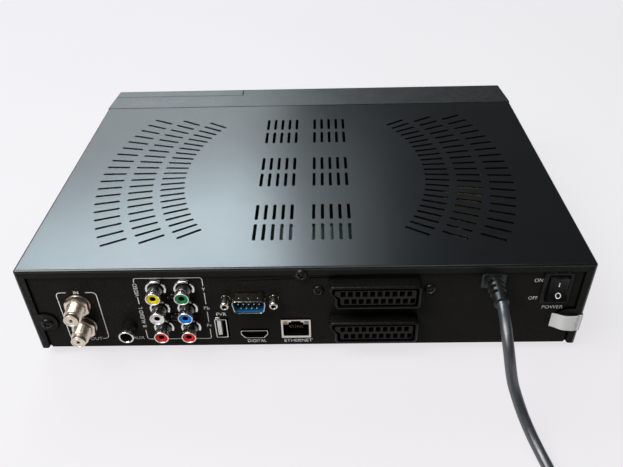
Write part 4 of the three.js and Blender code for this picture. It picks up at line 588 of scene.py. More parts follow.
# ---- top cover
SHEET, BEND = 0.8, 1.5
VENT_X, VENT_Y = 0.8, 9.25
RING_RADIUS, RING_PITCH, RING_COUNTS, RING_STEP = 118, 19.1, (23, 21, 19), radians(3)
RING_CENTRES = {1: 36.7, -1: 35.9}
SLOT_LENGTH, SLOT_WIDTH = 14.9, 1.85
BAR_START, BAR_PITCH, BAR_LENGTH, BAR_ROW, BAR_GROUP = 6.25, 5, 15, 19.2, 54
SIDE_FLANGE, TOP_FLANGE, MITRE, SIDE_TAB, TOP_TAB = 5, 5, 0.28, 6, 4.6


def stadium(x, y, length, angle):
    """A vent slot with round ends, along a direction in radians."""
    half, radius, turn = (length - SLOT_WIDTH) / 2, SLOT_WIDTH / 2, degrees(angle)
    ex, ey = half * cos(angle), half * sin(angle)
    far = arc(x + ex, y + ey, radius, turn - 90, turn + 90, 6)
    return far + arc(x - ex, y - ey, radius, turn + 90, turn + 270, 6)


def vent_slots():
    """Two fans of slots in rings, and six groups of bars between them."""
    slots = []
    for side in (-1, 1):
        for ring, count in enumerate(RING_COUNTS):
            radius = RING_RADIUS + ring * RING_PITCH
            for i in range(count):
                angle = (i - (count - 1) / 2) * RING_STEP
                x = VENT_X + side * (radius * cos(angle) - RING_CENTRES[side])
                slots.append(stadium(x, VENT_Y + radius * sin(angle), SLOT_LENGTH, side * angle))
        for group in (-1, 0, 1):
            for row in (-0.5, 0.5):
                y = VENT_Y + group * BAR_GROUP + row * BAR_ROW
                for column in range(5):
                    x = VENT_X + side * (BAR_START + column * BAR_PITCH)
                    slots.append(stadium(x, y, BAR_LENGTH, pi / 2))
    return slots


def side_tab(side):
    """The height of a side's cover screw, and the arc of the flange's tab round it."""
    screw = where("cover_screw_left" if side > 0 else "cover_screw_right").mid
    return screw.z, arc(screw.x, screw.z, SIDE_TAB, *((270, 90) if side > 0 else (-90, 90)), 14)


def top_cover():
    """Outer skin of the folded sheet; a solidify modifier gives it the sheet's thickness."""
    skin = Shape()
    in_x, back_y, bend_z = HALF - BEND, REAR_Y - BEND, HIGH_Z - BEND
    ends = (SEAM_Y, back_y)
    points, faces = flat_faces([(-in_x, SEAM_Y), (in_x, SEAM_Y), (in_x, back_y), (-in_x, back_y)], vent_slots())
    skin.put([(x, y, HIGH_Z) for x, y in points], faces)
    quarter = [(sin(a), cos(a)) for a in (pi / 2 * i / 6 for i in range(7))]

    def flange(outline):
        points, faces = flat_faces(outline)
        skin.put(upright(points, REAR_Y), faces, 2)

    for side in (-1, 1):
        rows = [[(side * (in_x + BEND * s), y, bend_z + BEND * c) for y in ends] for s, c in quarter]
        skin.grid([*rows, [(side * HALF, y, LOW_Z) for y in ends]], wrap=False)
        skin.grid([
            [(side * (in_x + BEND * c), back_y + BEND * s, z) for z in (LOW_Z, bend_z)] for s, c in quarter
        ], wrap=False)
        skin.grid([
            [(side * (in_x + BEND * s1 * c2), back_y + BEND * s1 * s2, bend_z + BEND * c1) for s2, c2 in quarter]
            for s1, c1 in quarter
        ], wrap=False)
        screw_z, tab = side_tab(side)
        edge = side * (HALF - SIDE_FLANGE)
        flange([
            (side * in_x, LOW_Z), (edge + side * 1.2, LOW_Z), (edge, LOW_Z + 1.2), (edge, screw_z - SIDE_TAB), *tab,
            (edge, screw_z + SIDE_TAB), (edge, HIGH_Z - TOP_FLANGE - MITRE), (side * in_x, bend_z - MITRE),
        ])
    skin.grid([[(x, back_y + BEND * s, bend_z + BEND * c) for x in (-in_x, in_x)] for s, c in quarter], wrap=False)
    screw, edge = where("cover_screw_top").mid, HIGH_Z - TOP_FLANGE
    lean = degrees(asin((screw.z - edge) / TOP_TAB))
    flange([
        (in_x, bend_z), (HALF - SIDE_FLANGE, edge), *arc(screw.x, screw.z, TOP_TAB, -lean, lean - 180, 16),
        (-HALF + SIDE_FLANGE, edge), (-in_x, bend_z),
    ])
    # The sheet's cut edges, round the vent slots, along the flanges and at its front and lower edges, take DARK:
    # painted shade that deepens the slots and the lines at the flange edges.
    thickness = {
        "thickness": SHEET * MM, "offset": -1.0, "use_even_offset": True, "use_rim": True, "material_offset_rim": 1,
    }
    edges = {"width": 0.14 * MM, "segments": 2, "limit_method": "ANGLE", "angle_limit": radians(50)}
    skin.piece(
        "cover_sheet", [PAINT, DARK, PAINT_EDGE, DARK], "case_paint", ["top_cover"], sharp=28, weld=0.01,
        modifiers=[
            ("SOLIDIFY", thickness), ("BEVEL", edges), ("WEIGHTED_NORMAL", {"weight": 100, "keep_sharp": True}),
        ],
    )


top_cover()


# ---- screws
def screw_head(shape, radius, height, turn, drop):
    """A domed head with a cross recess, outwards along +Y."""
    rings, sides = 18, 56
    arm, reach, deep = radius * 0.13, radius * 0.62, height * 0.62
    c, s = cos(turn), sin(turn)
    rows = [upright(disc(0, -drop, radius, sides), 0.05)]
    for k in range(rings + 1):
        dome = height * (1 - (1 - k / rings) ** 2.6) ** 0.7
        row = []
        for a, b in disc(0, 0, radius * (1 - k / rings), sides):
            across, along = sorted((abs(a * c + b * s), abs(b * c - a * s)))
            inside = smooth((arm * 1.5 - across) / (arm * 0.6)) * smooth((reach - along) / (radius * 0.16))
            row.append((a, 0.3 + dome - deep * inside, b - drop))
        rows.append(row)
    shape.grid(rows)


SCREWS = [  # node, piece, surface under the head, drop, head radius, shank radius, turn, loss of height
    *(
        (f"cover_screw_{at}", f"cover_screw_head_{at}", REAR_Y, 0.3, 3.3, 1.4, 0.5, loss)
        for at, loss in (("left", 0.25), ("top", 0.25), ("right", 1.1))
    ),
    *(
        (name, f"{name}_head", PANEL_Y, 0.4, 3.1, 1.2, turn, 0.25) for name, turn in (
            ("phono_screw_lower", 0.2), ("phono_screw_upper", 0.9), ("scart_screw_right", 1.2),
            ("scart_screw_left", 0.6),
        )
    ),
]


def screws():
    for name, piece, seat, drop, radius, shank, turn, loss in SCREWS:
        low, high, mid = where(name)
        shape = Shape(mid.x, seat, mid.z)
        screw_head(shape, radius, high.y - seat - loss, turn, drop)
        shape.lathe([(0, low.y - seat), (shank, low.y - seat), (shank, 0.3), (0, 0.3)], sides=16)
        shape.piece(piece, [SCREW], "black_screw", [name])


screws()


# ---- aerial connectors
NUT_FLATS, NUT_BORE, NUT_CHAMFER = 12.3, 5.0, 0.5
THREAD_RADIUS, THREAD_DEPTH, THREAD_PITCH = 4.7, 0.36, 0.95


def nut_rows(thick, turn):
    def radius_at(y, angle):
        local = (angle - turn + pi / 6) % (pi / 3) - pi / 6
        cone = NUT_FLATS / 2 * 0.965 + min(thick - y, y + 0.12) * 1.7
        return min(NUT_FLATS / 2 / cos(local), cone)

    depths = [0, 0.15, 0.35, thick / 2, *(thick - NUT_CHAMFER * share for share in (1, 0.5, 0.2, 0))]
    outside = turned(depths, 72, radius_at)
    return [*outside, *turned((thick, 0), 72, lambda *_: NUT_BORE), outside[0]]


def thread_rows(start, end, origin):
    def radius_at(y, angle):
        wave = ((origin + y) / THREAD_PITCH - angle / TURN) % 1
        return THREAD_RADIUS - THREAD_DEPTH * abs(2 * wave - 1) ** 1.2

    steps = int((end - start) / THREAD_PITCH * 6)
    return turned([start + (end - start) * k / steps for k in range(steps + 1)], 48, radius_at)


def aerials():
    """Each connector is a threaded barrel, a hex nut and a washer."""
    for name, place, turn in (("aerial_input", "upper", 0.03), ("aerial_output", "lower", 0.17)):
        _, high, mid = where(name)
        tip, start = high.y, PANEL_Y - 0.5 - high.y
        barrel = Shape(mid.x, tip, mid.z)
        barrel.grid(thread_rows(start, -2.9, tip), ends=False)
        barrel.lathe([
            (0, start), (4.3, start), (4.3, -2.9), (4.55, -2.85), (3.5, -2.7), (3.5, -2.2), (3.8, -2.05),
            (3.9, -0.3), (3.8, -0.05), (3.5, 0), (3.1, 0), (3.0, -0.22), (2.8, -0.22), (2.7, -0.1), (1.15, -0.1),
            (0.85, -0.35), (0.8, -0.6),
        ], sides=48)
        # The centre hole is painted shade (DARK).
        barrel.lathe([(0.8, -0.6), (0.8, -4.5, 1), (0, -4.5, 1)], sides=24)
        for blade in (-0.35, 0.35):
            barrel.box(-0.5, 0.5, -4.4, -1.6, blade - 0.1, blade + 0.1, 0.05, 2)
        barrel.piece(f"{name}_barrel", [NICKEL, DARK, GOLD], "nickel_plate", [name])
        low, high, _ = where(f"aerial_nut_{place}")
        nut = Shape(mid.x, low.y, mid.z)
        nut.grid(nut_rows(high.y - low.y, turn), ends=False)
        nut.piece(f"aerial_hex_{place}", [NICKEL], "nickel_plate", [f"aerial_nut_{place}"], sharp=24)
        low, high, _ = where(f"aerial_washer_{place}")
        washer = Shape(mid.x, low.y, mid.z)
        washer.plate(disc(0, 0, 6.55, 48), 0, high.y - low.y, [disc(0, 0, 5.0, 48)], 0.15)
        washer.piece(f"aerial_ring_{place}", [NICKEL], "nickel_plate", [f"aerial_washer_{place}"])


aerials()


# ---- phono jacks
PHONO_JACKS = ("yellow", "white", "red", "green", "blue", "red_video")
JACK_DEEP = 8


def phono_jacks():
    """Black barrels with a bright rim, a coloured insert and a dark hole of painted shade, and the digital jack
    beside them, whose hole is painted shade too.
    """
    for name in PHONO_JACKS:
        _, high, mid = where(f"phono_jack_{name}")
        base = JACK_BASE - high.y
        shape = Shape(mid.x, high.y, mid.z)
        shape.lathe([
            (0, base), (3.9, base), (3.9, -3.4), (3.95, -3.3, 1), (3.95, -0.25, 1), (3.8, 0, 1), (3.4, 0, 1),
            (3.28, -0.2, 1), (3.28, -0.55, 1), (3.15, -0.6, 3), (3.1, -0.45, 3), (1.75, -0.45, 3), (1.55, -0.65, 3),
            (1.5, -0.8, 2), (1.5, -JACK_DEEP, 2), (0, -JACK_DEEP, 2),
        ], sides=48)
        colour = name.split("_")[0]
        finishes = [BARREL, CHROME, DARK, INSERTS[colour]]
        shape.piece(f"phono_socket_{name}", finishes, f"jack_{colour}", [f"phono_jack_{name}"])
    _, high, mid = where("digital_jack")
    base = JACK_BASE - high.y
    shape = Shape(mid.x, high.y, DIGITAL_JACK_Z)
    shape.lathe([
        (0, base), (4.05, base), (4.05, -2.0), (4.1, -1.95, 1), (4.1, -0.25, 1), (3.9, 0, 1), (3.4, 0, 1),
        (3.2, -0.2, 1), (2.7, -1.6, 2), (1.5, -1.9, 2), (1.5, -JACK_DEEP, 2), (0, -JACK_DEEP, 2),
    ], sides=48)
    low, high = shape.near("digital_jack")
    shape.box(low.x, high.x, low.y, shape.near("phono_block")[1].y, low.z, 5.2, 0.3)
    shape.piece("digital_socket", [BARREL, CHROME, DARK], "socket_plastic", ["digital_jack"])


phono_jacks()


RING_ARCS = ((-24, 48), (59, 204))  # the two parts of a split ring, in degrees
RING_OUT, RING_IN = 5.6, 4.2


def ground_rings():
    """Split rings of the ground plate, out through the panel round each barrel, and the plate behind."""
    low, high, _ = where("phono_ground_plate")
    inside, crest = low.y + 0.8, high.y + 0.4
    section = (
        (RING_OUT, inside - 0.05), (RING_OUT, crest - 0.5), (RING_OUT - 0.14, crest - 0.18), (RING_OUT - 0.42, crest),
        (RING_IN + 0.35, crest), (RING_IN + 0.08, crest - 0.15), (RING_IN, inside - 0.05),
    )
    shape = Shape()
    holes = []
    for name in PHONO_JACKS:
        mid = where(f"phono_jack_{name}").mid
        holes.append(disc(mid.x, mid.z, 4.4, 40))
        for start, end in RING_ARCS:
            directions = arc(0, 0, 1, 180 - start, 180 - end, max(6, round((end - start) / 6)))
            shape.grid([[(mid.x + r * c, y, mid.z + r * s) for r, y in section] for c, s in directions])
    for name in ("phono_screw_lower", "phono_screw_upper"):
        mid = where(name).mid
        holes.append(disc(mid.x, mid.z, 1.6, 20))
    outline = [(low.x, low.z), (high.x, low.z), (high.x, high.z), (low.x, high.z)]
    shape.plate(outline, low.y, inside, holes, 0.1)
    shape.piece("ground_rings", [CHROME], "nickel_plate", ["phono_ground_plate"], sharp=40)


ground_rings()


# ---- ports of the middle, each from an origin in the middle of its front
def serial_outline(grow):
    w, h, c, slant = 8.8 + grow, 4.35 + grow, 2.3 + grow * 0.8, 0.7
    return [
        *arc(-w + slant + c, -h + c, c, 190, 270, 5), *arc(w - slant - c, -h + c, c, 270, 350, 5),
        *arc(w - c, h - c, c, -10, 90, 5), *arc(-w + c, h - c, c, 90, 190, 5),
    ]


def serial_port():
    """Shell, blue insert, nine pins and the dimples of the shell, with a threaded post at either side."""
    _, high, mid = where("serial_port")
    shape = Shape(mid.x + 0.5, high.y + 0.8, SERIAL_Z)
    back, inside = shape.near("serial_port")[0].y, -5.8
    shape.plate(serial_outline(0), PANEL_Y - 1.5 - shape.origin.y, 0, [serial_outline(-0.45)], 0.25)
    shape.plate(serial_outline(-0.45), inside - 0.8, inside, finish=1)
    shape.plate(serial_outline(-0.47), inside, -0.7, [serial_outline(-0.75)], 0.1, 1)
    for count, rise in ((5, 1.42), (4, -1.42)):
        for i in range(count):
            centre = ((i - (count - 1) / 2) * 2.77, 0, rise)
            shape.lathe([(0.85, inside), (0.85, inside + 0.4, 1), (0.5, inside + 0.4, 1)], centre, sides=16)
            shape.lathe([(0.45, inside), (0.45, -1.6, 2), (0.3, -1.2, 2), (0, -1.15, 2)], centre, sides=16)
    for side, apart in ((-1, 4.0), (1, 5.0)):
        for i in (-1, 0, 1):
            dimple = [(0.8, 0), (0.55, side * 0.3), (0, side * 0.38)]
            shape.lathe(dimple, (i * apart, -3.2, side * 4.32), "Z", 16)
    holes = [serial_outline(-0.6), disc(-12.5, 0, 1.8), disc(12.5, 0, 1.8)]
    shape.plate(rounded(30.8, 12.5, 1.5), back + 6, back + 7, holes, 0.1)
    shape.plate(serial_outline(-0.3), back, back + 6, finish=1)
    shape.piece("serial_socket", [STEEL, SERIAL_BLUE, GOLD], "serial_insert", ["serial_port"], sharp=35)
    for side, shift in (("left", 0.9), ("right", 0.0)):
        low, high, mid = where(f"serial_jackscrew_{side}")
        post = Shape(mid.x + shift, high.y + 0.7, mid.z - 0.2)
        back, panel = low.y - post.origin.y, PANEL_Y - post.origin.y
        # The hole in the post's end is painted shade (DARK).
        post.lathe([
            (0, back), (1.2, back), (1.2, panel + 0.3), (2.5, panel + 0.3), (2.4, panel + 0.4), (2.4, -0.75),
            (2.15, -0.3), (1.75, -0.05), (1.4, 0), (1.3, -0.1), (1.15, -0.5, 1), (0, -1.1, 1),
        ], sides=36)
        post.piece(f"serial_post_{side}", [STEEL, DARK], "nickel_plate", [f"serial_jackscrew_{side}"])


serial_port()


def video_outline(grow):
    w, h = 7.6 + grow, 2.95 + grow
    return mirrored([
        (w - 2.5, -h), (w - 2.0, 0.25 - h), (w - 0.25, 2.5 - h), (w, 3.0 - h), (w, h - 0.4), (w - 0.4, h),
    ])


def video_port():
    _, high, mid = where("hdmi_port")
    shape = Shape(mid.x + 0.5, high.y + 0.5, mid.z - 0.35)
    back = shape.near("hdmi_port")[0].y
    # DARK here is the black tongue and the back, and painted shade on the shell's walls inside the mouth.
    shape.plate(video_outline(0), back, 0, [video_outline(-0.5)], 0.12, 0, 3)
    shape.plate(video_outline(-0.5), back, back + 0.6, finish=1)
    shape.box(-5.0, 5.0, back, -0.9, -0.1, 1.0, 0.15, 1)
    for i in range(19):
        x = (i - 9) * 0.5
        shape.box(x - 0.12, x + 0.12, back + 2, -1.6, -0.16, -0.05, 0, 2)
    shape.piece("video_socket", [STEEL, DARK, GOLD, DARK], "zinc_sheet", ["hdmi_port"])


video_port()


def data_port():
    _, high, mid = where("usb_port")
    shape = Shape(mid.x + 0.6, high.y + 0.4, high.z - 7.4)
    low, high = shape.near("usb_port")
    back = low.y
    shape.plate(rounded(6.7, 14, 0.6, 3), back, 0, [rounded(5.6, 12.9, 0.35, 3)], 0.15)
    # The liner inside the shell and the back are painted shade (DARK).
    shape.plate(rounded(5.9, 13.2, 0.3, 3), back, back + 0.5, finish=1)
    liner = rounded(5.7, 13, 0.3, 3)
    shape.plate(liner, back + 0.5, -0.4, [offset(liner, -0.15)], finish=1)
    shape.box(-0.15, 2.1, back, -0.6, -5.5, 5.5, 0.2, 2)
    for i in range(4):
        z = (i - 1.5) * 2.4
        shape.box(-0.27, -0.1, back + 3, -1.4, z - 0.5, z + 0.5, 0, 3)
    shape.box(low.x, high.x, back, PANEL_Y - 7 - shape.origin.y, low.z, -6.5, 0.1)
    shape.piece("data_socket", [STEEL, DARK, WHITE, GOLD], "zinc_sheet", ["usb_port"])


data_port()


NETWORK_MOUTH = mirrored([(7.1, 1.6), (7.1, 10.5), (4.1, 10.5), (4.1, 12), (2.6, 12), (2.6, 12.9)])
NETWORK_LAMPS = ((-7.2, -4.4, 3), (4.4, 7.2, 2))  # from, to, finish
NETWORK_SPRING = ((-11.5, 3.0), (-5.5, 5.2), (-4.8, 5.2), (-3.8, 3.8))  # depth, height


def network_port():
    """Its origin is the middle of the lower edge of its front."""
    low, high, mid = where("ethernet_port")
    shape = Shape(mid.x + 0.1, high.y + 0.4, low.z - 0.4)
    half, tall = (high.x - low.x) / 2 + 0.15, high.z - low.z
    windows = [[(a, 10.85), (b, 10.85), (b, 12.8), (a, 12.8)] for a, b, _ in NETWORK_LAMPS]
    outline = [(-half, 0), (half, 0), (half, tall), (-half, tall)]
    shape.plate(outline, -0.4, 0, [NETWORK_MOUTH, *windows], 0.1)
    # The mouth's walls and back are DARK: black plastic, deepened as painted shade.
    shape.plate(offset(outline, -0.02), low.y - shape.origin.y, -0.35, [NETWORK_MOUTH], wall=1)
    shape.plate(offset(NETWORK_MOUTH, 0.01), -13, -12.5, finish=1)
    for a, b, finish in NETWORK_LAMPS:
        shape.box(a + 0.1, b - 0.1, -3, -0.15, 10.95, 12.7, 0.15, finish)
    for i in range(8):
        shape.tube([((i - 3.5) * 1.02, y, z) for y, z in NETWORK_SPRING], 0.16, 6, 4)
    finishes = [STEEL, DARK, LAMP_YELLOW, LAMP_GREEN, GOLD]
    shape.piece("network_socket", finishes, "zinc_sheet", ["ethernet_port"])


network_port()


# ---- SCART sockets
def scart_outline(grow, c=1.2):
    w, h = 24.1 + grow, 8.0 + grow
    return [
        *arc(c - w, c - h, c, 180, 270, 4), *arc(w - 2.9 - c, c - h, c, 270, 360, 4), (w - 2.9, -0.6 * h / 7.8),
        (w, h - 3.0), *arc(w - c, h - c, c, 0, 90, 4), *arc(c - w, h - c, c, 90, 180, 4),
    ]


def scart_sockets():
    for name in ("scart_upper", "scart_lower"):
        high = where(name).high
        shape = Shape(SCART_X, high.y + 0.6, high.z - 8.3)
        panel = PANEL_Y - shape.origin.y
        rim = (  # growth of the outline, its corners, depth
            (0.0, 2.4, panel - 1.4), (0.0, 2.4, panel + 0.8), (-0.3, 2.3, -0.9), (-0.5, 2.1, -0.3), (-0.9, 1.8, 0),
            (-1.5, 1.2, 0), (-1.7, 1.1, -0.2),
        )
        # The mouth's walls and the back of the channel round the slot block are DARK: painted shade.
        mouth = ((-1.7, 1.1, -0.2), (-1.75, 1.1, -4.8))
        for stations, finish in ((rim, 0), (mouth, 3)):
            shape.grid([upright(scart_outline(grow, c), y) for grow, c, y in stations], finish, ends=False)
        slots = []
        for start, z in ((-0.4, 2.5), (-2.3, -2.5)):
            for i in range(10):
                x = start + (i - 4.5) * 3.81
                slots.append(rounded(2.3, 3.3, 0.25, 2, x, z))
                shape.box(x - 0.2, x + 0.2, -4.6, -3.0, z - 0.5, z + 0.1, 0.08, 2)
        shape.plate(scart_outline(-3.0), -4.8, -0.5, slots, 0.15, 1, 3)
        shape.plate(scart_outline(-1.75), -5.2, -4.7, finish=3)
        low, high = shape.near(name)
        shape.box(low.x, high.x, low.y, panel - 1.4, low.z, high.z, 0.5)
        shape.piece(f"{name}_socket", [SOCKET, SLOT_BLOCK, CONTACT, DARK], "socket_plastic", [name], sharp=38)


scart_sockets()


# ---- mains switch
def mains_switch():
    shape = Shape(where("switch_housing").mid.x, PANEL_Y, SWITCH_Z)
    mouth = rounded(10.4, 17.4, 0.5, 3)
    shape.plate(rounded(15, 21, 0.9, 4), 0.15, 2, [mouth], 0.45)
    shape.plate(rounded(13, 19, 0.4, 3), -15, 0.2, [mouth])
    # A plate deep in the frame behind the rocker is painted shade (DARK).
    shape.plate(rounded(12.9, 18.9, 0.4, 3), -15, -11, finish=1)
    for z in (-7, 0, 7):
        shape.box(-2.4, 2.4, -22, -14.8, z - 0.4, z + 0.4, 0.1, 2)
    shape.piece("switch_frame", [SOCKET, DARK, STEEL], "socket_plastic", ["switch_housing"])


mains_switch()


ROCKER_TILT, ROCKER_RADIUS, ROCKER_MIDDLE, ROCKER_HALF, ROCKER_DIP = radians(13), 8.4, 3.6, 4.9, 0.28
ROCKER_EDGE = ((0, 0.35), (0.12, 0.12), (0.4, 0.0))  # distance in from its end, shrink of the section


def rocker():
    """The rocker's face is a shallow V with soft ends, about its pivot; its marks ride with it."""
    origin = where("power_rocker").mid.x, PANEL_Y - 0.2, SWITCH_Z
    c, s = cos(ROCKER_TILT), sin(ROCKER_TILT)
    end = ROCKER_TILT + asin(ROCKER_MIDDLE * c / ROCKER_RADIUS)
    skirt = -asin(3.2 / ROCKER_RADIUS)
    tip_y, tip_z = ROCKER_RADIUS * sin(end), ROCKER_RADIUS * cos(end)

    def face_y(share):
        return tip_y + (ROCKER_MIDDLE - tip_y) * share - ROCKER_DIP * sin(pi * share)

    def placed(x, y, z):
        return x, y * c - z * s, y * s + z * c

    def on_face(across, up):
        return placed(-across, face_y(1 - abs(up) / tip_z) + 0.03, up)

    angles = [skirt + (end - skirt) * i / 10 for i in range(11)]
    upper = [(ROCKER_RADIUS * sin(a), ROCKER_RADIUS * cos(a)) for a in angles]
    upper += [(face_y(i / 13), tip_z * (1 - i / 13)) for i in range(1, 13)]
    section = [*upper, (ROCKER_MIDDLE, 0.0), *((y, -z) for y, z in upper[::-1])]
    levels = [(inset - ROCKER_HALF, shrink) for inset, shrink in ROCKER_EDGE]
    levels += [(ROCKER_HALF - inset, shrink) for inset, shrink in ROCKER_EDGE[::-1]]
    shape = Shape(*origin)
    shape.grid([[placed(x, y, z) for y, z in offset(section, -shrink)] for x, shrink in levels])
    pin = ROCKER_HALF + 0.9
    shape.lathe([(0, -pin), (1.2, -pin), (1.2, pin), (0, pin)], axis="X", sides=20)
    shape.piece("rocker_key", [SOCKET], "socket_plastic", ["power_rocker"], "rocker", sharp=24)
    ink = Shape(*origin)
    ink.grid([[on_face(a, u) for a in (-0.27, 0.27)] for u in (1.6, 2.2, 2.9, 3.6, 4.2)], wrap=False)
    ring = [[on_face(r * a * 0.95, -3.45 + r * b) for r in (1.15, 1.56)] for a, b in arc(0, 0, 1, 0, 360, 32)]
    ink.grid(ring, wrap=False)
    ink.piece("rocker_marks", [INK], "socket_plastic", body="rocker", recalc=False)


rocker()


# ---- strain relief
def strain_relief():
    """A tapered boot with open ribs, staggered left and right, on a square flange."""
    low, high, _ = where("cord_gland")
    reach, back = high.y - PANEL_Y, low.y - PANEL_Y

    def radius_at(along, angle):
        spoke = cos(angle)
        radius = 4.7 - (along - 2.2) / (19 - 2.2)
        for rib in range(3):
            start = 4.0 + rib * 3.7 + (0.5 if spoke > 0 else -0.5)
            inside = smooth((along - start) / 0.4) * smooth((start + 2.1 - along) / 0.4)
            radius -= 1.7 * inside * smooth((abs(spoke) - 0.3) / 0.2)
        if along > reach - 0.5:
            radius -= 0.5 * ((along - reach + 0.5) / 0.5) ** 2
        return radius

    shape = Shape(GLAND_X, PANEL_Y, GLAND_Z)
    shape.plate(rounded(12.6, 9.3, 1.2), 0.3, 2.2, bevel=0.45)
    shape.grid(turned([1.8 + (reach - 1.8) * k / 84 for k in range(85)], 64, radius_at))
    shape.lathe([
        (0, back), (2.9, back), (2.9, back + 3), (6, back + 3), (6, -1.1), (4, -1.1), (4, 1), (0, 1),
    ])
    shape.piece("strain_boot", [BOOT], "foot_rubber", ["cord_gland"], sharp=36)


strain_relief()


# ---- paper seal
SEAL_TOP, SEAL_UNDER, SEAL_THICK, SEAL_CELLS = 28.5, 19.1, 0.2, 12


def seal():
    """A strip of paper over the right cover screw and round the corner of the case."""
    start, edge = where("paper_seal").high.x, -HALF - 0.05
    screw = where("cover_screw_right")
    crest, lifted = screw.mid.x, screw.high.y - 0.55
    line = (
        (start, PANEL_Y + 0.3), (start - 1.5, PANEL_Y + 0.6), (crest + 4.2, lifted - 0.9),
        (crest + 1.8, lifted - 0.05), (crest - 1.8, lifted - 0.05), (crest - 5.0, REAR_Y + 1.0),
        (edge + 2.0, REAR_Y + 0.32), (edge + 0.5, REAR_Y + 0.2), (edge - 0.02, REAR_Y - 0.3),
        (edge - 0.05, REAR_Y - 1.2), (edge - 0.05, REAR_Y - 5), (edge - 0.05, REAR_Y - 9),
    )
    path = through([(a, b, 0) for a, b in line], 5)
    rows = []
    for i, point in enumerate(path):
        along = (path[min(i + 1, len(path) - 1)] - path[max(i - 1, 0)]).normalized()
        out = Vector((along.y, -along.x, 0)) * SEAL_THICK
        if out.y < out.x:
            out = -out
        run = (start - point.x) + max(0.0, REAR_Y - point.y)
        top = SEAL_TOP - 0.05 * run
        under = SEAL_UNDER - 0.19 * run + 0.9 * max(0.0, 1 - run / 0.9) ** 2
        levels = [under + (top - under) * k / SEAL_CELLS for k in range(SEAL_CELLS + 1)]
        near = [(point.x, point.y, z) for z in levels]
        rows.append(near + [(point.x + out.x, point.y + out.y, z) for z in levels[::-1]])
    shape = Shape()
    shape.grid(rows)
    shape.piece("seal_strip", [PAPER], "seal_paper", ["paper_seal"], sharp=50)


seal()


# ---- printed marks of the rear panel, and strips of painted shade in the gaps
MARK_LINES = (  # radius of the corners, then the points (x, z); a plain line has no corners
    (2.7, (126.3, 46.9), (131.8, 46.9), (131.8, 12.3), (121.3, 12.3)),
    (2.7, (115.8, 46.9), (110.3, 46.9), (110.3, 12.3), (113.9, 12.3)),
    (1.7, (88.6, 53.4), (88.6, 56.3), (52.7, 56.3), (52.7, 50.6)),
    (0, (52.7, 45.8), (52.7, 37.6)),
    (0, (52.7, 31.9), (52.7, 24.3)),
    (1.7, (52.7, 19.0), (52.7, 11.4), (88.6, 11.4), (88.6, 18.6)),
    (0, (88.6, 38.2), (88.6, 43.2)),
)
MARK_WORDS = (  # text, x, z, height of its capitals, turn in degrees, letter spacing, narrowing
    ("IN", 120.9, 46.9, 2.1), ("OUT", 117.6, 12.2, 2.3),
    ("VIDEO", 88.6, 48.3, 2.2, 90), ("R AUDIO L", 88.6, 28.4, 2.2, 90, 1.02),
    ("Y", 52.7, 48.2, 2.3), ("Pb", 52.7, 34.7, 2.3), ("Pr", 52.7, 21.7, 2.3),
    ("AUX", 93.6, 12.6, 2.2), ("PVR", 45.4, 30.0, 2.3),
    ("DIGITAL", 27.3, 9.2, 2.1, 0, 1, 0.95), ("ETHERNET", 4.1, 9.2, 2.3),
    ("ON", -122.1, 51.7, 2.4, 0, 1, 0.85), ("OFF", -121.2, 39.4, 2.3, 0, 1, 0.88), ("POWER", -132.6, 32.75, 2.3),
)
INK_OUT, GAP_OUT = 0.05, 0.02  # how far printed marks and the strips of painted shade in the gaps stand off the panel
FLAP_PIN = 2.4  # the flap's box takes in its hinge pins


def stroke(shape, points, width, out):
    """A line on the panel through points given as (x, z): a printed line, or a strip of painted shade."""
    rows = []
    for i, point in enumerate(points):
        here = Vector(point)
        before = (here - Vector(points[i - 1])).normalized() if i else None
        after = (Vector(points[i + 1]) - here).normalized() if i < len(points) - 1 else None
        before, after = before or after, after or before
        first = Vector((before.y, -before.x))
        normal = (first + Vector((after.y, -after.x))).normalized()
        reach = normal * (width / 2 / max(normal.dot(first), 0.5))
        rows.append(upright((here + reach, here - reach), PANEL_Y + out))
    shape.grid(rows, wrap=False)


def word(shape, text, x, z, height, turn=0.0, spacing=1.0, narrow=1.0):
    """A word centred at a place on the panel, readable from behind the unit."""
    curve = bpy.data.curves.new("word", "FONT")
    curve.body = text
    curve.size = height / 0.7
    curve.space_character = spacing
    curve.offset = -0.003 * curve.size
    curve.align_x, curve.align_y = "CENTER", "CENTER"
    curve.resolution_u = 3
    holder = bpy.data.objects.new("word", curve)
    mesh = holder.to_mesh()
    heights = [v.co.y for v in mesh.vertices]
    middle = (min(heights) + max(heights)) / 2
    c, s = cos(radians(turn)), sin(radians(turn))
    flat = [(v.co.x * narrow, v.co.y - middle) for v in mesh.vertices]
    points = [(x - (a * c - b * s), PANEL_Y + INK_OUT, z + a * s + b * c) for a, b in flat]
    shape.put(points, [tuple(p.vertices) for p in mesh.polygons])
    holder.to_mesh_clear()
    bpy.data.objects.remove(holder)
    bpy.data.curves.remove(curve)


def corner_line(points, radius):
    """An open line with its inner corners rounded."""
    made = [points[0]]
    for before, here, after in zip(points, points[1:], points[2:]):
        p = Vector(here)
        start, end = (p + (Vector(other) - p).normalized() * radius for other in (before, after))
        made += [tuple(start * (1 - t) ** 2 + p * 2 * t * (1 - t) + end * t ** 2) for t in (i / 5 for i in range(6))]
    return [*made, points[-1]]


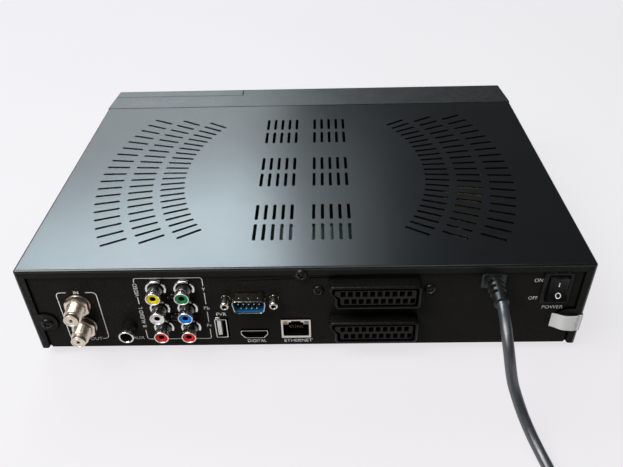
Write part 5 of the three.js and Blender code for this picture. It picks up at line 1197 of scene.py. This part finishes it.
def printed_marks():
    """Words and lines in white, and strips of painted shade in the gaps beside the cover's flanges and round the
    flap.
    """
    ink = Shape()
    for radius, *points in MARK_LINES:
        stroke(ink, corner_line(points, radius), 0.42, INK_OUT)
    for mark in MARK_WORDS:
        word(ink, *mark)
    ink.piece("printed_marks", [INK], "panel_paint", recalc=False, weld=0.0)
    # Strips of painted shade (DARK) in the gaps beside the cover's flanges and round the flap.
    gap = Shape()
    for side in (-1, 1):
        screw_z, tab = side_tab(side)
        edge = side * (HALF - SIDE_FLANGE)
        stroke(gap, [
            (edge, LOW_Z + 1.5), (edge, screw_z - SIDE_TAB), *tab, (edge, screw_z + SIDE_TAB),
            (edge, HIGH_Z - TOP_FLANGE),
        ], 1.7, GAP_OUT)
    low, high, _ = where("front_flap")
    bezel = where("front_bezel")
    front, level = bezel.low.y + 2, bezel.high.z + GAP_OUT
    rear, end = high.y + 0.5, low.x + FLAP_PIN
    for x0, x1, y0, y1 in ((end, high.x - 2.2, high.y, rear), (end - 0.8, end, front, rear)):
        gap.put([(x0, y0, level), (x1, y0, level), (x1, y1, level), (x0, y1, level)], [(0, 1, 2, 3)])
    gap.piece("shadow_gap", [DARK], "panel_paint", recalc=False, weld=0.0)


printed_marks()


# ---- pieces kept from the CAD
BOARDS = ("front_board", "main_board", "power_board")
BOARD_TOP, CHIP_TOP = 13.9, 17.5
FINISHES = (  # material, width of the soft edges, nodes
    (PANEL_PAINT, 0.15, "rear_panel"),
    (PAINT_EDGE, 0.15, "chassis_tray"),
    (BEZEL, 0.35, "front_bezel"),
    (BEZEL, 0.25, "front_flap"),
    (SMOKED, 0.3, "display_window"),
    (BUTTON, 0.3, "standby_button", "button_menu", "button_ok", "button_channel_down", "button_channel_up"),
    (BOARD, 0.12, *BOARDS),
    (FERRITE, 0.4, "transformer"),
    (SLEEVE, 0.5, "bulk_capacitor"),
    (RIBBON, 0.12, "ribbon_cable"),
    (ZINC, 0.12, "card_slot_cage"),
    (ZINC, 0.3, "tuner_can"),
    (SOCKET, 0.3, "phono_block"),
    (RUBBER, 0.5, "foot_front_left", "foot_front_right", "foot_rear_left", "foot_rear_right"),
)


def dress(name, material, bevel):
    """Gives a CAD node its finish, smooth round faces and soft edges."""
    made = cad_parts[name]
    made.data.materials.clear()
    made.data.materials.append(material)
    for polygon in made.data.polygons:
        polygon.material_index = 0
        polygon.use_smooth = True
    angle = radians(40)
    made.data.set_sharp_from_angle(angle=angle)
    add_modifiers(made, (
        ("DECIMATE", {"decimate_type": "DISSOLVE", "angle_limit": radians(1)}),
        ("BEVEL", {"width": bevel * MM, "segments": 2, "limit_method": "ANGLE", "angle_limit": angle}),
        ("WEIGHTED_NORMAL", {"weight": 100, "keep_sharp": True}),
    ))


def mark_components(name):
    """Gives the faces of a board's parts a finish of their own."""
    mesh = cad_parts[name].data
    mesh.materials.append(CHIP)
    mesh.materials.append(ALUMINIUM)
    low, high, _ = where(name)
    thick = high.y - low.y
    for polygon in mesh.polygons:
        centre = polygon.center / MM
        if thick < high.z - low.z:
            part = centre.y < low.y + 0.5 or centre.y > high.y - 0.3 and thick > 3
            polygon.material_index = 1 if part else 0
        elif centre.z > BOARD_TOP:
            polygon.material_index = 2 if centre.z > CHIP_TOP or name == "power_board" else 1


for finish, soft_edge, *names in FINISHES:
    for dressed in names:
        dress(dressed, finish, soft_edge)
for board in BOARDS:
    mark_components(board)


# ---- floor, lights and view
FLOOR_HALF, FLOOR_Z = 6.0, -0.00005  # in metres
FLOOR_GLOW, FLOOR_BOUNCE = 0.90, 0.3
LIGHTS = (  # name, azimuth, elevation, distance, width, height, power, colour
    ("key", 25.6, 42, 1.7, 0.92, 0.56, 21.6, (0.77, 0.92, 1.0)),
    ("key_edge", 1, 41, 1.7, 0.4, 0.6, 0.9, (0.84, 0.95, 1.0)),
    ("low_key", 20, 22, 1.8, 0.95, 0.3, 2.3, (0.92, 0.98, 1.0)),
    ("camera_left", 122, 52, 0.95, 0.8, 0.6, 13.5, (1.0, 0.99, 0.965)),
    ("overhead", 180, 72, 1.6, 1.0, 0.5, 5, (1, 1, 1)),
)
LIGHT_AIM = Vector((0, 0, 0.05))


def floor():
    """A pale sweep that glows where the camera or a gloss sees it, and throws little light back on the unit."""
    grid = bmesh.new()
    bmesh.ops.create_grid(grid, x_segments=12, y_segments=12, size=FLOOR_HALF)
    bmesh.ops.translate(grid, vec=(0, 0, FLOOR_Z), verts=grid.verts)
    mesh = bpy.data.meshes.new("floor")
    grid.to_mesh(mesh)
    grid.free()
    material = bpy.data.materials.new("floor_sweep")
    material.use_nodes = True
    tree = material.node_tree
    tree.nodes.clear()
    tones = ramp(tree, noise(tree, 3.0, 2.0), 0.3, 0.7)
    pale = mix(tree, tones, (0.09, 0.088, 0.092), (0.10, 0.098, 0.102))
    glow = node(tree, "Emission", {"Color": (0.815, 0.80, 0.82), "Strength": FLOOR_GLOW})
    seen = node(tree, "BsdfDiffuse", {"Color": pale})
    bright = node(tree, "AddShader", {0: seen.outputs[0], 1: glow.outputs[0]})
    plain = node(tree, "BsdfDiffuse", {"Color": (FLOOR_BOUNCE, FLOOR_BOUNCE, FLOOR_BOUNCE)})
    ray = node(tree, "LightPath", {}).outputs
    seen_ray = node(tree, "Math", {0: ray["Is Camera Ray"], 1: ray["Is Glossy Ray"]}, operation="MAXIMUM")
    both = node(tree, "MixShader", {0: seen_ray.outputs[0], 1: plain.outputs[0], 2: bright.outputs[0]})
    node(tree, "OutputMaterial", {"Surface": both.outputs[0]})
    mesh.materials.append(material)
    link("floor", mesh)


def lights():
    """Area lights that face the unit. Azimuth is from the front, towards the photo's left."""
    for name, azimuth, elevation, distance, width, height, power, colour in LIGHTS:
        data = bpy.data.lights.new(name, "AREA")
        data.shape = "RECTANGLE"
        data.size, data.size_y = width, height
        data.energy, data.color = power, colour
        a, e = radians(azimuth), radians(elevation)
        place = Vector((sin(a) * cos(e), -cos(a) * cos(e), sin(e))) * distance
        made = link(name, data)
        made.location = LIGHT_AIM + place
        made.rotation_euler = place.to_track_quat("Z", "Y").to_euler()
        made.visible_camera = False
    world = bpy.data.worlds.new("studio")
    world.use_nodes = True
    bpy.context.scene.world = world
    tree = world.node_tree
    camera_ray = node(tree, "LightPath", {}).outputs["Is Camera Ray"]
    back = next(n for n in tree.nodes if n.type == "BACKGROUND")
    feed(tree, back, {"Color": mix(tree, camera_ray, (0.07, 0.07, 0.07), (0.83, 0.82, 0.84))})


floor()
lights()
bpy.context.scene.view_settings.view_transform = "Standard"
